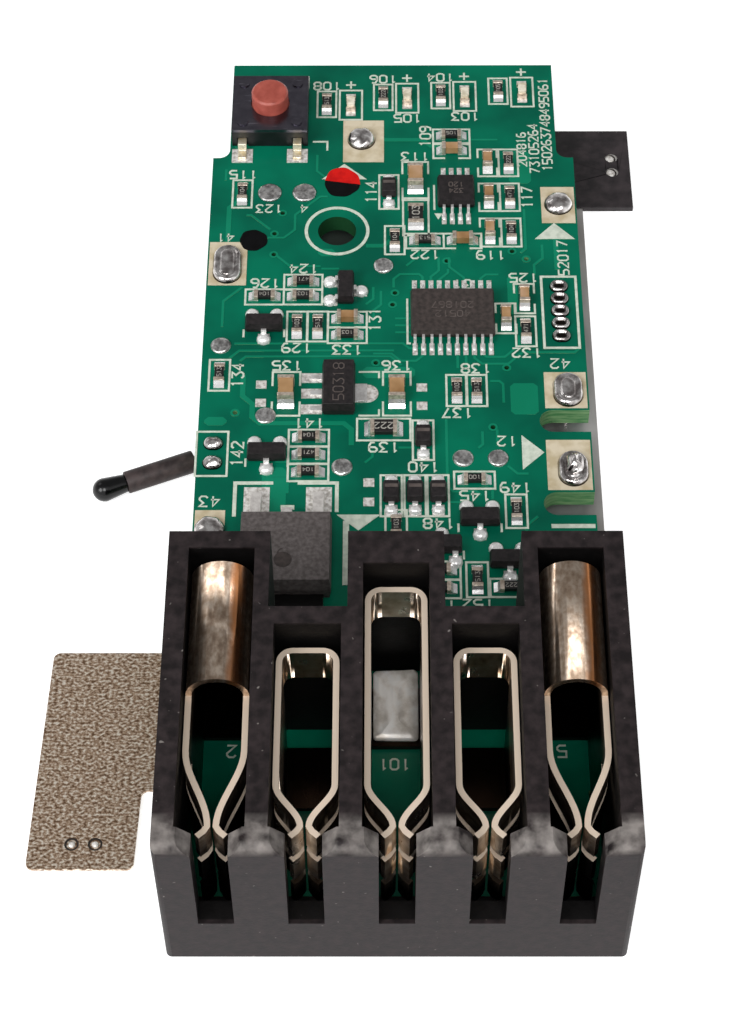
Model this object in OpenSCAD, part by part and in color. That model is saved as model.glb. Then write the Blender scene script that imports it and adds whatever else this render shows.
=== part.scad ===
// Battery management board with a five-way terminal block.
// Millimetres. The origin is the middle of the terminal block's mating face, level with the
// top copper of the board: X across the board, Y from the mating face towards the button, Z up.

/* [Terminals] */
// Distance between neighbouring terminals
terminal_pitch = 5.73; // [5.4:0.01:7]
// Outer width of a contact, across its two arms
contact_w = 4.1; // [3.4:0.05:4.6]
// Thickness of the contact sheet
sheet_t = 0.4; // [0.25:0.05:0.5]
// Height of the fingers' top edge above the board
contact_top = 11.4; // [9:0.1:14]
// Height of one spring finger
finger_h = 2.4; // [1.6:0.1:2.6]
// Vertical distance between stacked fingers
finger_pitch = 3.1; // [2.8:0.1:3.6]
// Stacked finger pairs in one contact
finger_pairs = 3; // [2:1:3]
// Gap between two fingers where they pinch the blade
pinch_gap = 0.14; // [0.06:0.02:0.4]
// Length of the flared finger tips, along the board
flare_len = 0.7; // [0.4:0.05:1]
// Sideways reach of the flared finger tips
flare_out = 0.62; // [0.3:0.02:0.8]
// Distance from the front wall to the finger tips
tip_gap = 0.45; // [0.3:0.05:1.5]
// Reach of a power contact's sprung arms, from tip to straight side
power_arm = 6; // [4:0.1:7]
// Reach of a signal contact's sprung arms, from tip to straight side
signal_arm = 3.6; // [3:0.1:5]
// Length of a power contact's arched back
arch_len = 9; // [6:0.1:10]
// Height of the band that joins the arms of a signal contact
band_h = 3; // [2:0.1:5]
// Outer corner radius of a signal contact's band
band_r = 1.1; // [0.6:0.05:1.6]
// Length of the soldered foot of a contact
foot_len = 4.6; // [3:0.1:6]
// Width of a contact's solder tail
tail_w = 1.2; // [0.8:0.1:1.6]

/* [Terminal block] */
// Height of the moulded block above the board
block_top = 13.5; // [13.5:0.1:18]
// Depth of the front lip below the top of the board
lip_drop = 1.2; // [0.6:0.1:1.5]
// Thickness of the front wall
front_wall = 1.6; // [1.2:0.1:2.4]
// Thickness of the outer side walls
side_wall = 1.35; // [1:0.05:2.5]
// Thickness of the walls round the deeper towers
tower_wall = 1; // [0.7:0.05:1.2]
// Thickness of the rear walls
rear_wall = 1.3; // [0.8:0.1:2]
// Clear width of a blade slot in the front wall
slot_w = 2.3; // [1.6:0.1:3]
// Height of a blade slot's floor above the board
slot_floor = 3.6; // [1:0.1:5]
// Widening of a slot's lead-in, on each side
lead_in = 0.9; // [0.4:0.05:1.2]
// Clearance between a contact and its cavity
cavity_clear = 0.12; // [0.05:0.01:0.25]
// Depth of the cavities of terminals 1 and 5
power_depth = 22.1; // [20:0.1:26]
// Gap between a power contact's back and its cavity's rear wall
power_gap = 1.05; // [0.5:0.05:2]
// Depth of the cavity of terminal 3
middle_depth = 20.9; // [18:0.1:24]
// Depth of the cavities of terminals 2 and 4
signal_depth = 16.2; // [14:0.1:18]
// Gap between a signal contact's band and its cavity's rear wall
band_gap = 0.55; // [0.3:0.05:1.5]
// Radius of the moulded edges
edge_r = 0.8; // [0.2:0.1:1]

/* [Board] */
// Thickness of the bare board
board_t = 1.6; // [0.8:0.1:2]
// Distance from the mating face to the board's front edge
board_front = 3.7; // [3:0.1:5]
// How far the block's sides stand out past the board
board_inset = 0.25; // [0:0.05:1]
// How far each side of the board steps in at the rear
step_in = 1.35; // [0.5:0.05:2]
// Length of the stepped rear end
step_len = 10.7; // [9.5:0.1:12]
// Margin between the rear lamp and the board's rear edge
rear_margin = 3.2; // [2:0.1:6]
// Radius of the inner corners of the steps
step_r = 0.9; // [0.3:0.1:1.2]
// Diameter of the locating hole
locating_d = 3.05; // [2:0.05:3.6]
// Width of the two milled edge slots
edge_slot_w = 2.05; // [1.2:0.05:2.6]
// Length of the two milled edge slots
edge_slot_len = 3.8; // [2:0.1:4.2]
// Thickness of the tinned pads
pad_t = 0.05; // [0.03:0.01:0.1]

/* [Button] */
// Side of the push button's square base
switch_side = 6.2; // [5:0.1:6.4]
// Height of the push button's base and cover
switch_h = 1.9; // [1.5:0.1:3.5]
// Thickness of the push button's cover plate
cover_t = 0.3; // [0.2:0.05:0.5]
// Diameter of the plunger
plunger_d = 3; // [2:0.1:3.6]
// Height of the plunger above its cover
plunger_rise = 1.3; // [0.6:0.1:4]
// Width of the bevel round the plunger's top
plunger_bevel = 0.15; // [0.05:0.05:0.4]
// Distance between neighbouring legs of the push button
leg_pitch = 4.5; // [3.6:0.1:4.8]
// Travel of the plunger
plunger_travel = 0.25; // [0.2:0.05:0.4]
// Running clearance round the plunger
plunger_clear = 0.08; // [0.05:0.01:0.15]

/* [Chips] */
// Length of a small chip part
small_l = 1.6; // [1.4:0.05:1.8]
// Width of a small chip part
small_w = 0.8; // [0.7:0.05:0.95]
// Height of a small chip resistor
small_h = 0.45; // [0.35:0.05:0.6]
// Length of a large chip part
large_l = 2; // [1.8:0.05:2.3]
// Width of a large chip part
large_w = 1.25; // [1.1:0.05:1.4]
// Height of a large chip resistor
large_h = 0.55; // [0.45:0.05:0.7]
// Height of a small chip capacitor
cap_small_h = 0.8; // [0.6:0.05:0.95]
// Height of a large chip capacitor
cap_large_h = 1.1; // [0.8:0.05:1.3]
// Thickness of the metal on a chip's ends
end_t = 0.06; // [0.04:0.01:0.1]
// Reach of the metal over a chip's top and sides
end_reach = 0.3; // [0.2:0.02:0.4]
// Reach of the solder past a chip's end
solder_reach = 0.45; // [0.3:0.05:0.5]

/* [Packages] */
// Pitch of the controller's leads
fine_pitch = 0.65; // [0.6:0.01:0.7]
// Leads on each side of the controller
controller_pins = 10; // [8:1:10]
// Width of the controller's body, between its lead rows
controller_w = 4.4; // [4:0.1:4.6]
// Leads on each side of the amplifier
amplifier_pins = 4; // [3:1:4]
// Width of the amplifier's body, between its lead rows
amplifier_w = 3; // [2.8:0.1:3.2]
// Height of the controller's and the amplifier's bodies
fine_h = 1; // [0.8:0.05:1.2]
// Length of a small transistor's body
sot_l = 2.9; // [2.7:0.05:3]
// Width of a small transistor's body
sot_w = 1.3; // [1.2:0.05:1.4]
// Height of a small transistor
sot_h = 1.05; // [0.9:0.05:1.2]
// Length of a small diode's body
diode_l = 1.7; // [1.5:0.05:1.8]
// Width of a small diode's body
diode_w = 1.25; // [1.1:0.05:1.35]
// Height of a small diode
diode_h = 0.95; // [0.8:0.05:1.1]
// Length of the regulator's body
regulator_l = 4.5; // [4.3:0.1:4.6]
// Width of the regulator's body
regulator_w = 2.5; // [2.3:0.1:2.6]
// Height of the regulator
regulator_h = 1.5; // [1.4:0.05:1.6]
// Width of the power transistor's body
power_w = 6.6; // [6.4:0.05:6.7]
// Depth of the power transistor's body
power_l = 6.1; // [5.9:0.05:6.2]
// Height of the power transistor
power_h = 2.3; // [2.1:0.05:2.4]

/* [Strips] */
// Gap between the board and the strips below it
strip_gap = 1.65; // [1.2:0.05:2.5]
// Thickness of the nickel strip
strip_t = 0.2; // [0.15:0.05:0.3]
// Outer reach of the nickel tab past the board's left edge
tab_reach = 10.3; // [6:0.1:14]
// Length of the nickel tab along the board
tab_len = 17.1; // [12:0.1:20]
// Distance from the mating face to the nickel tab's front edge
tab_front = 7.3; // [5:0.1:10]
// Width of the nickel tab's narrow front part
tab_narrow = 7.3; // [5:0.1:8]
// Length of the nickel tab's narrow front part
tab_step = 6; // [4:0.1:8]
// Reach of the bus strip past the board's right edge
bus_reach = 0.85; // [0.4:0.05:2]
// Width of the bus strip
bus_w = 4.6; // [3.5:0.1:6]
// Reach of the insulated flag past the board's right edge
flag_reach = 5; // [3:0.1:8]
// Width of the insulated flag, along the board
flag_w = 8.7; // [6:0.1:10]
// Thickness of the flag's insulation, on each side
sleeve_t = 0.15; // [0.1:0.05:0.3]
// Diameter of a weld dimple
dimple_d = 1; // [0.6:0.1:1.4]

/* [Thermistor] */
// Diameter of the bead
bead_d = 1.8; // [1.4:0.1:2]
// Length of the bead past its sleeve
bead_len = 2.6; // [1.8:0.1:4]
// Outer diameter of the sleeve
sleeve_d = 1.7; // [1.3:0.1:1.8]
// Length of the sleeve
sleeve_len = 5.4; // [3:0.1:9]
// Diameter of a lead
lead_d = 0.4; // [0.3:0.05:0.5]
// Distance between the lead holes
lead_pitch = 1.8; // [1.4:0.1:2.4]

/* [Hidden] */

EPS = 0.01;              // overlap that keeps a cut or a union clean
$fn = 48;

// Terminal block
TERMINALS = 5;
cavity_w = contact_w + 2 * cavity_clear;
block_w = terminal_pitch * (TERMINALS - 1) + cavity_w + 2 * side_wall;
tower_rear = max(power_depth, middle_depth) + rear_wall;
low_rear = signal_depth + rear_wall;
function terminal_x(i) = (i - (TERMINALS - 1) / 2) * terminal_pitch;
function cavity_depth(i) = i % 4 == 0 ? power_depth : i == 2 ? middle_depth : signal_depth;

// Contacts
tip_y = front_wall + tip_gap;
pinch_y = tip_y + flare_len;
arm_x = (contact_w - sheet_t) / 2;
pinch_x = (pinch_gap + sheet_t) / 2;
ARM_STEPS = 12;
FLARE_BEND = 0.35;       // share of the flare reached halfway along it
root_len = 1.6;          // solid side behind the slits between the fingers
tail_drop = 1.2;         // reach of a tail past the board's underside
tail_clear = 0.15;
tail_bare = 0.3;         // end of a tail left clear of solder
cone_tip = 0.12;         // solder round a tail, at its tip and at the board
cone_foot = 0.3;
tail_inset = 0.5;        // from a side plate's end to its solder tail
arch_r = contact_w / 2;

// Board
board_w = block_w - 2 * board_inset;
right_x = board_w / 2;
left_x = -right_x;

// Places on the board are [x, y], with y measured from the rear of the block's towers.
LAMPS = [[-3.5, 52.5], [1.2, 53.3], [6, 53.5], [10.8, 54]];
board_rear = tower_rear + LAMPS[3][1] + rear_margin;
step_y = board_rear - step_len;
floor_z = -board_t - strip_gap - strip_t;
LOCATING_AT = [-4.5, 38.5];
EDGE_SLOT_Y = [11.8, 19.4];
VIAS = [[-9.5, 38.2], [-9.5, 36], [9.4, 36.3], [10.5, 35.5], [4.2, 35.3], [0.1, 32],
        [-0.1, 30.8], [8.6, 24.5], [-1.4, 25], [7.4, 18.8], [-12, 20.2], [-8.9, 40.4]];
via_d = 0.35;

// Soldered joints at the board's edges: [x, y from the towers, length along the board]
joint_w = 2.3;
joint_h = 0.5;
JOINTS = [
    [left_x + 1.6, 34.9, 3.9],
    [right_x - 1.55, 22.3, 3.2],
    [right_x - 1.5, 14.9, 3.2],
    [right_x - 1.45, 41.3, joint_w],
    [-2.6, 48.5, joint_w],
    [left_x + 1.25, 9.4, joint_w],
];
function joint_y(k) = tower_rear + JOINTS[k][1];
tongue_w = 1.4;          // width of a strip's tongue, along the board
tongue_rise = 0.3;       // a tongue's end above the board
tongue_clear = 0.15;
BUS_JOINTS = [1, 2, 3];
REAR_JOINT = 3;
TAB_JOINT = 5;

// Programming holes
HEADER_HOLES = 5;
header_pitch = 1.25;
header_x = right_x - 1.8;
header_y = 27.6;
header_hole_d = 0.65;
header_pad_d = 1;

// Chip parts: places of those along the board and those across it
RESISTORS_ALONG = concat(
    [for (p = LAMPS) p + [-2, 0.1]],
    [for (i = [0:2]) [9.4, 38.3 + 3.8 * i]],
    [for (x = [-7.5, -5.9]) [x, 28.6]],
    [for (x = [4.75, 6.25]) [x, 22.3]],
    [[-12.2, 42.5], [0.1, 37.5], [left_x + 1.4, 23.8], [10.2, 28.1], [8.9, 11.1], [5.9, 5.1],
     [0.1, 9.7]]
);
RESISTORS_ACROSS = concat(
    [for (i = [0:2]) [-6.4, 14.6 + 1.6 * i]],
    [for (y = [4.3, 5.9]) [3.2, y]],
    [[4.8, 48.9], [2.5, 37.4], [-7.1, 33.1], [-7.1, 31.6], [-10.1, 31.6], [-3.6, 27.7],
     [5.9, 13.9], [8.3, 4.4]]
);
LARGE_RESISTORS_ALONG = [[1.8, 40]];
LARGE_RESISTORS_ACROSS = [[-0.8, 18.6]];
CAPACITORS_ALONG = concat(
    [for (i = [0:2]) [7.7, 38.3 + 3.8 * i]],
    [[10.2, 31.4], [8.7, 29.4]]
);
CAPACITORS_ACROSS = [[4.8, 47.2], [5.5, 37.4], [-3.6, 29.3]];
LARGE_CAPACITORS_ALONG = [[1.8, 43.9], [-8.2, 22], [0.2, 22]];
BARE_PADS_ALONG = [[-10.1, 22], [2.1, 21.7], [-1.9, 12.8]];

// Packages, and the transistors' angles
CONTROLLER_AT = [4.55, 29.5];
AMPLIFIER_AT = [5.05, 42.25];
REGULATOR_AT = [-4.2, 22];
POWER_AT = [-7.85, 6.5];
TRANSISTORS = [[-10.05, 28.5, 0], [-3.75, 32.1, 90], [-9.5, 16.1, 0], [6.2, 10.2, 0],
               [3.4, 7.8, 180], [8.25, 6.5, 0]];
DIODES = [[-0.25, 12.5], [1.5, 12.5], [3.2, 12.5], [2.15, 17.6], [-0.35, 42.7]];
body_gap = 0.1;          // under a package's body
draft_in = 0.12;         // how far a moulded body's sides draw in
PARTING = 0.45;          // height of the parting line, as a share of the body's height
LEAN = 0.35;             // how far a lead leans out, as a share of its shoulder's height
BEND = 0.6;              // thickness of a lead across its bend, as a share of its sheet
embed = 0.3;             // how far a lead runs into its body
fine_lead = [0.22, 0.13];
sot_lead = [0.42, 0.13];
controller_end = 0.325;  // from the outer lead's middle to the body's end
amplifier_end = 0.52;
controller_l = (controller_pins - 1) * fine_pitch + 2 * controller_end;
amplifier_l = (amplifier_pins - 1) * fine_pitch + 2 * amplifier_end;
SHOULDER = 0.45;         // height of a lead's shoulder, as a share of its body's height
DIODE_SHOULDER = 0.3;
lead_out = 0.95;         // reach of a fine lead past its body
sot_out = 0.55;
diode_out = 0.44;
FOOT = 0.55;             // length of a lead's foot, as a share of its reach
fine_pad = [0.38, 1.12]; // a fine lead's pad, as width and length
sot_pad = [0.9, 1];
regulator_pad = [1.6, 0.9];
power_pad = [1.9, 2.2];
sot_pitch = 0.95;
power_pitch = 2.286;
regulator_pitch = 1.5;

WET = 0.75;              // height of a solder wedge, as a share of its chip's height
CAP_WET = 0.7;           // the same on the taller capacitors, again as a share
SAG = 0.37;              // how far a wedge's middle sinks in

TEST_PADS = [[-0.8, 34.8], [left_x + 1.4, 26.7], [-9.7, 19.9], [-3.9, 15.1], [7.7, 15.9],
             [5.1, 15.9], [-10, 42.6], [-7.2, 42.6]];
test_d = 1.55;

// Button
SWITCH_AT = [-10.1, 50.9];
leg_w = 0.7;
leg_t = 0.2;
leg_out = 1.5;
LEG_SHOULDER = 0.3;      // height of a leg's shoulder, as a share of the button's height
LEG_FOOT = 0.6;          // length of a leg's foot, as a share of its reach
leg_notch_h = 1;         // height of the notch round a leg
leg_pad_w = 1.7;
leg_pad_in = 0.35;       // from the button's side to a leg's pad
peg_d = 0.9;
peg_rise = 0.12;
recess_clear = plunger_travel + 2 * plunger_clear;
collar_t = 0.4;
collar_out = 0.5;

// Strips
tab_left = left_x - tab_reach;
tab_rear = tab_front + tab_len;
strip_z = floor_z;
leg_strip_w = 3;         // the nickel tab's run below the board
bus_front = tower_rear + 10.8;
bus_left = right_x + bus_reach - bus_w;
flag_past = 2.5;         // from the rear joint to the flag
flag_front = joint_y(REAR_JOINT) + flag_past;
flag_inner = 8;          // hidden length of the flag below the board
dimple_depth = 0.1;
dimple_gap = 1.6;        // between the two dimples of a weld
tab_dimple_x = 3;        // first dimple from the tab's left and front edges
tab_dimple_y = 1.9;
flag_dimple_x = 1.5;     // dimples from the flag's outer edge
flag_dimple_y = 4;
tab_corner = 0.5;
tab_slant = 0.6;         // how far the tab's outer edge draws in towards the rear
run_past = 1.2;          // reach of the tab's run past its soldered joint

// Thermistor
LEADS_AT = [left_x + 1.1, 16.4];
sensor_angle = 22;
sensor_x = left_x - 0.4;
sensor_y = tower_rear + 17.6;
sensor_z = floor_z + sleeve_d / 2;
lead_apart = 0.35;       // a lead's distance from the sleeve's axis
lead_rise = 0.4;         // the leads' ends above the board
RUN = 0.92;              // thickness of the leads' level run, as a share of their diameter
elbow_drop = 0.24;       // how far a lead's upright end starts below its level run
NECK = 0.8;              // the bead's neck, as a share of the sleeve's diameter

// ---- Shared shapes ----

// A ribbon of sheet of thickness t, seen edge on, along the points of a centre line.
function unit(v) = v / norm(v);
function heading(p, i) =
    i == 0 ? unit(p[1] - p[0])
    : i == len(p) - 1 ? unit(p[i] - p[i - 1])
    : unit(unit(p[i] - p[i - 1]) + unit(p[i + 1] - p[i]));
function beside(p, i, d) = p[i] + d * [-heading(p, i)[1], heading(p, i)[0]];
module ribbon(path, t) {
    n = len(path);
    polygon(concat([for (i = [0:n - 1]) beside(path, i, t / 2)],
                   [for (i = [n - 1:-1:0]) beside(path, i, -t / 2)]));
}

// A cutter that rounds an outer edge which runs along Z at the origin, inside quadrant -X -Y.
module edge_cutter(r, length) {
    translate([-r, -r, -EPS])
        linear_extrude(length + 2 * EPS)
            difference() {
                square(r + EPS);
                circle(r);
            }
}

// A slot outline with round ends, along Y.
module slot_2d(w, length) {
    square([w, length - w], center = true);
    for (side = [-1, 1]) translate([0, side * (length - w) / 2]) circle(d = w);
}

module at_place(p, z = 0) {
    translate([p[0], tower_rear + p[1], z]) children();
}

module at_all(places, angle = 0) {
    for (p = places) at_place(p) rotate(angle) children();
}

// A moulded body whose sides draw in above and below its parting line.
module moulded_body(l, w, h) {
    mid = h * PARTING;
    module profile(size) {
        polygon([[-size / 2 + draft_in, 0], [size / 2 - draft_in, 0], [size / 2, mid],
                 [size / 2 - draft_in, h], [-size / 2 + draft_in, h], [-size / 2, mid]]);
    }
    intersection() {
        rotate([90, 0, 0]) linear_extrude(w, center = true) profile(l);
        rotate([90, 0, 90]) linear_extrude(l, center = true) profile(w);
    }
}

// One bent lead that leaves a body at y = from and ends at y = to, standing on z = 0.
module bent_lead(from, to, shoulder, size, foot) {
    w = size[0];
    t = size[1];
    heel = to - foot;
    knee = heel - shoulder * LEAN;
    rotate([90, 0, 90])
        linear_extrude(w, center = true)
            polygon([[from, shoulder], [knee, shoulder], [heel, 0], [to, 0], [to, t],
                     [heel + t * BEND, t], [knee + t * BEND, shoulder + t],
                     [from, shoulder + t]]);
}

module lead_row(pins, pitch, body, out, shoulder, size, foot) {
    for (i = [0:pins - 1])
        translate([(i - (pins - 1) / 2) * pitch, 0, 0])
            bent_lead(body / 2 - embed, body / 2 + out, shoulder, size, foot);
}

// The pockets that those leads fill in their body.
module lead_pockets(pins, pitch, body, shoulder, size) {
    for (i = [0:pins - 1])
        translate([(i - (pins - 1) / 2) * pitch - size[0] / 2, body / 2 - embed, shoulder])
            cube([size[0], embed + 1, size[1]]);
}

// ---- Board ----

module board_outline() {
    difference() {
        union() {
            translate([left_x, board_front]) square([board_w, step_y - board_front]);
            translate([left_x + step_in, board_front])
                square([board_w - 2 * step_in, board_rear - board_front]);
            for (side = [-1, 1])
                translate([side * (right_x - step_in), step_y])
                    difference() {
                        translate([-step_r * (1 - side) / 2, 0]) square(step_r);
                        translate([side * step_r, step_r]) circle(step_r);
                    }
        }
        for (y = EDGE_SLOT_Y)
            at_place([right_x - edge_slot_len + edge_slot_w / 2, y]) {
                circle(d = edge_slot_w);
                translate([0, -edge_slot_w / 2]) square([edge_slot_len, edge_slot_w]);
            }
        at_place(LOCATING_AT) circle(d = locating_d);
        at_all(VIAS) circle(d = via_d);
        for (i = [0:HEADER_HOLES - 1])
            at_place([header_x, header_y + i * header_pitch]) circle(d = header_hole_d);
        for (side = [-1, 1])
            at_place(LEADS_AT + [0, side * lead_pitch / 2])
                circle(d = lead_d + 2 * tongue_clear);
        for (k = concat(BUS_JOINTS, [TAB_JOINT]))
            at_place(JOINTS[k])
                square([strip_t, tongue_w] + [2, 2] * tongue_clear, center = true);
        for (i = [0:TERMINALS - 1]) for (side = [-1, 1]) for (y = tail_places(i))
            translate([terminal_x(i) + side * arm_x, y])
                square([sheet_t, tail_w] + [2, 2] * tail_clear, center = true);
    }
}

module board() {
    color("#00694e")
        translate([0, 0, -board_t]) linear_extrude(board_t) board_outline();
}

// ---- Terminal block ----

module block_outline() {
    translate([-block_w / 2, 0]) square([block_w, low_rear]);
    tower_w = side_wall + cavity_w + tower_wall;
    for (side = [0, 1]) mirror([side, 0])
        translate([-block_w / 2, 0]) square([tower_w, tower_rear]);
    translate([-cavity_w / 2 - tower_wall, 0])
        square([cavity_w + 2 * tower_wall, tower_rear]);
}

module blade_slot() {
    top_w = slot_w + 2 * lead_in;
    translate([0, front_wall + EPS, 0])
        rotate([90, 0, 0])
            linear_extrude(front_wall + 2 * EPS)
                polygon([[-slot_w / 2, slot_floor], [slot_w / 2, slot_floor],
                         [slot_w / 2, block_top - lead_in], [top_w / 2, block_top + EPS],
                         [-top_w / 2, block_top + EPS], [-slot_w / 2, block_top - lead_in]]);
}

module terminal_block() {
    color("#35313a")
        difference() {
            union() {
                linear_extrude(block_top) block_outline();
                translate([-block_w / 2, 0, -lip_drop])
                    cube([block_w, board_front - EPS, lip_drop + EPS]);
            }
            for (i = [0:TERMINALS - 1]) translate([terminal_x(i), 0, 0]) {
                translate([-cavity_w / 2, board_front - EPS, -EPS])
                    cube([cavity_w, cavity_depth(i) - board_front + EPS, block_top + 1]);
                translate([-cavity_w / 2, front_wall, 0])
                    cube([cavity_w, board_front - front_wall, block_top + 1]);
                blade_slot();
            }
            translate([block_w / 2, 0, block_top])
                rotate([0, -90, 0]) rotate([0, 0, -90]) edge_cutter(edge_r, block_w);
            for (side = [0, 1]) mirror([side, 0, 0])
                translate([block_w / 2, 0, -lip_drop])
                    rotate(-90) edge_cutter(edge_r / 2, block_top + lip_drop);
        }
}

// ---- Contacts ----

// Centre line of one sprung arm: straight side, smooth sweep in to the pinch, flared tip.
function sweep(u) = u * u * (3 - 2 * u);
function arm_path(reach, rear) = concat(
    [[arm_x, rear]],
    [for (i = [0:ARM_STEPS])
        let (u = i / ARM_STEPS)
        [arm_x - (arm_x - pinch_x) * sweep(u), pinch_y + (reach - flare_len) * (1 - u)]],
    [[pinch_x + flare_out * FLARE_BEND, pinch_y - flare_len / 2], [pinch_x + flare_out, tip_y]]
);
function finger_z(k) = contact_top - finger_h - k * finger_pitch;
function side_rear(i) = cavity_depth(i) - (i % 4 == 0 ? power_gap : band_gap);
function side_front(i) = tip_y + (i % 4 == 0 ? power_arm : signal_arm) + root_len;
function tail_places(i) =
    [side_front(i) + tail_inset + tail_w / 2, side_rear(i) - band_r - tail_inset - tail_w / 2];

// The parts that both kinds of contact share: fingers, side plates, foot and tails.
module contact_sides(i) {
    reach = i % 4 == 0 ? power_arm : signal_arm;
    front = side_front(i);
    rear = side_rear(i);
    bottom = contact_top - finger_h - (finger_pairs - 1) * finger_pitch;
    for (side = [0, 1]) mirror([side, 0, 0]) {
        for (k = [0:finger_pairs - 1])
            translate([0, 0, finger_z(k)])
                linear_extrude(finger_h) ribbon(arm_path(reach, front + EPS), sheet_t);
        translate([arm_x - sheet_t / 2, front, 0])
            cube([sheet_t, rear - band_r - front, contact_top]);
        translate([arm_x - sheet_t / 2, front - root_len / 2, bottom])
            cube([sheet_t, root_len / 2 + EPS, contact_top - bottom]);
        for (y = tail_places(i))
            translate([arm_x - sheet_t / 2, y - tail_w / 2, -board_t - tail_drop])
                cube([sheet_t, tail_w, board_t + tail_drop + EPS]);
    }
    translate([-arm_x, rear - band_r - foot_len, 0]) cube([2 * arm_x, foot_len, sheet_t]);
}

// Power contact: the sides are joined by an arched back that runs along the board.
module power_contact(i) {
    color("#c9bba5")
        translate([terminal_x(i), 0, 0]) {
            contact_sides(i);
            translate([0, side_rear(i) - arch_len, contact_top])
                rotate([-90, 0, 0])
                    linear_extrude(arch_len)
                        difference() {
                            circle(arch_r);
                            circle(arch_r - sheet_t);
                            translate([-arch_r - EPS, 0])
                                square([2 * arch_r + 2 * EPS, arch_r + EPS]);
                        }
            for (side = [-1, 1])
                translate([side * arm_x - sheet_t / 2, side_rear(i) - band_r - EPS, 0])
                    cube([sheet_t, band_r + EPS, contact_top]);
        }
}

// Signal contact: the sides are joined by a band that is rounded in plan.
module signal_contact(i) {
    inner_r = band_r - sheet_t;
    corner_x = contact_w / 2 - band_r;
    corner_y = side_rear(i) - band_r;
    color("#c9bba5")
        translate([terminal_x(i), 0, 0]) {
            contact_sides(i);
            translate([0, 0, contact_top - band_h])
                linear_extrude(band_h) {
                    for (side = [0, 1]) mirror([side, 0])
                        translate([corner_x, corner_y])
                            difference() {
                                circle(band_r);
                                circle(inner_r);
                                translate([-band_r, -band_r - EPS])
                                    square([2 * band_r + EPS, band_r + EPS]);
                                translate([-band_r - EPS, -EPS]) square([band_r, band_r + 1]);
                            }
                    translate([-corner_x - EPS * 2, side_rear(i) - sheet_t])
                        square([2 * corner_x + EPS * 4, sheet_t]);
                }
        }
}

// Solder round the contacts' tails, below the board.
module tail_solder() {
    cone_h = tail_drop - tail_bare;
    color("#c8cccf")
        translate([0, 0, -board_t - cone_h])
            for (i = [0:TERMINALS - 1]) for (side = [-1, 1]) for (y = tail_places(i))
                translate([terminal_x(i) + side * arm_x, y, 0])
                    difference() {
                        cylinder(h = cone_h, r1 = tail_w / 2 + cone_tip, r2 = tail_w / 2 + cone_foot);
                        cube([sheet_t, tail_w, 4 * cone_h], center = true);
                    }
}

// ---- Push button ----

module at_switch() {
    at_place(SWITCH_AT, pad_t) children();
}

// Moulded base: a shallow well holds the plunger's collar.
module switch_base() {
    base_h = switch_h - cover_t;
    well_d = plunger_d + 2 * collar_out + 2 * plunger_clear;
    color("#22242c")
        at_switch() difference() {
            translate([0, 0, base_h / 2])
                cube([switch_side, switch_side, base_h], center = true);
            translate([0, 0, base_h - collar_t - recess_clear])
                cylinder(h = base_h, d = well_d);
            for (sx = [-1, 1]) for (sy = [0, 1]) mirror([0, sy, 0])
                translate([(sx * leg_pitch - leg_w - leg_t) / 2, switch_side / 2 - leg_t, -EPS])
                    cube([leg_w + leg_t, leg_t + EPS, leg_notch_h]);
        }
}

module switch_cover() {
    peg = switch_side / 2 - peg_d;
    color("#2b2c38")
        at_switch() translate([0, 0, switch_h - cover_t]) {
            difference() {
                linear_extrude(cover_t) square(switch_side, center = true);
                translate([0, 0, -EPS])
                    cylinder(h = cover_t + 1, d = plunger_d + 2 * plunger_clear);
            }
            for (sx = [-1, 1]) for (sy = [-1, 1])
                translate([sx * peg, sy * peg, 0])
                    cylinder(h = cover_t + peg_rise, d = peg_d);
        }
}

// Plunger with the collar that keeps it below the cover.
module switch_plunger() {
    stem_h = cover_t + plunger_rise + plunger_clear;
    color("#b5483c")
        at_switch() translate([0, 0, switch_h - cover_t - plunger_clear]) {
            cylinder(h = stem_h - plunger_bevel, d = plunger_d);
            translate([0, 0, stem_h - plunger_bevel])
                cylinder(h = plunger_bevel, d1 = plunger_d, d2 = plunger_d - 2 * plunger_bevel);
            translate([0, 0, -collar_t])
                cylinder(h = collar_t + EPS, d = plunger_d);
            translate([0, 0, -collar_t])
                cylinder(h = collar_t, d = plunger_d + 2 * collar_out);
        }
}

module switch_legs() {
    shoulder = switch_h * LEG_SHOULDER;
    color("#c9b07a")
        at_switch() for (sx = [-1, 1]) for (sy = [0, 1]) mirror([0, sy, 0])
            translate([sx * leg_pitch / 2, 0, 0])
                bent_lead(switch_side / 2 - leg_t + EPS, switch_side / 2 + leg_out, shoulder,
                          [leg_w, leg_t], leg_out * LEG_FOOT);
}

// ---- Packages ----

module fine_package(at, pins, l, w) {
    color("#463f3e")
        at_place(at, pad_t) difference() {
            translate([0, 0, body_gap]) moulded_body(l, w, fine_h - body_gap);
            for (side = [0, 1]) mirror([0, side, 0])
                lead_pockets(pins, fine_pitch, w, fine_h * SHOULDER, fine_lead);
        }
}

module fine_leads(at, pins, w) {
    color("#c8ccd0")
        at_place(at, pad_t) for (side = [0, 1]) mirror([0, side, 0])
            lead_row(pins, fine_pitch, w, lead_out, fine_h * SHOULDER, fine_lead,
                     lead_out * FOOT);
}

module controller() {
    fine_package(CONTROLLER_AT, controller_pins, controller_l, controller_w);
}
module controller_leads() { fine_leads(CONTROLLER_AT, controller_pins, controller_w); }
module amplifier() {
    fine_package(AMPLIFIER_AT, amplifier_pins, amplifier_l, amplifier_w);
}
module amplifier_leads() { fine_leads(AMPLIFIER_AT, amplifier_pins, amplifier_w); }

module at_transistor(i) {
    at_place(TRANSISTORS[i], pad_t) rotate(TRANSISTORS[i][2]) children();
}

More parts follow.
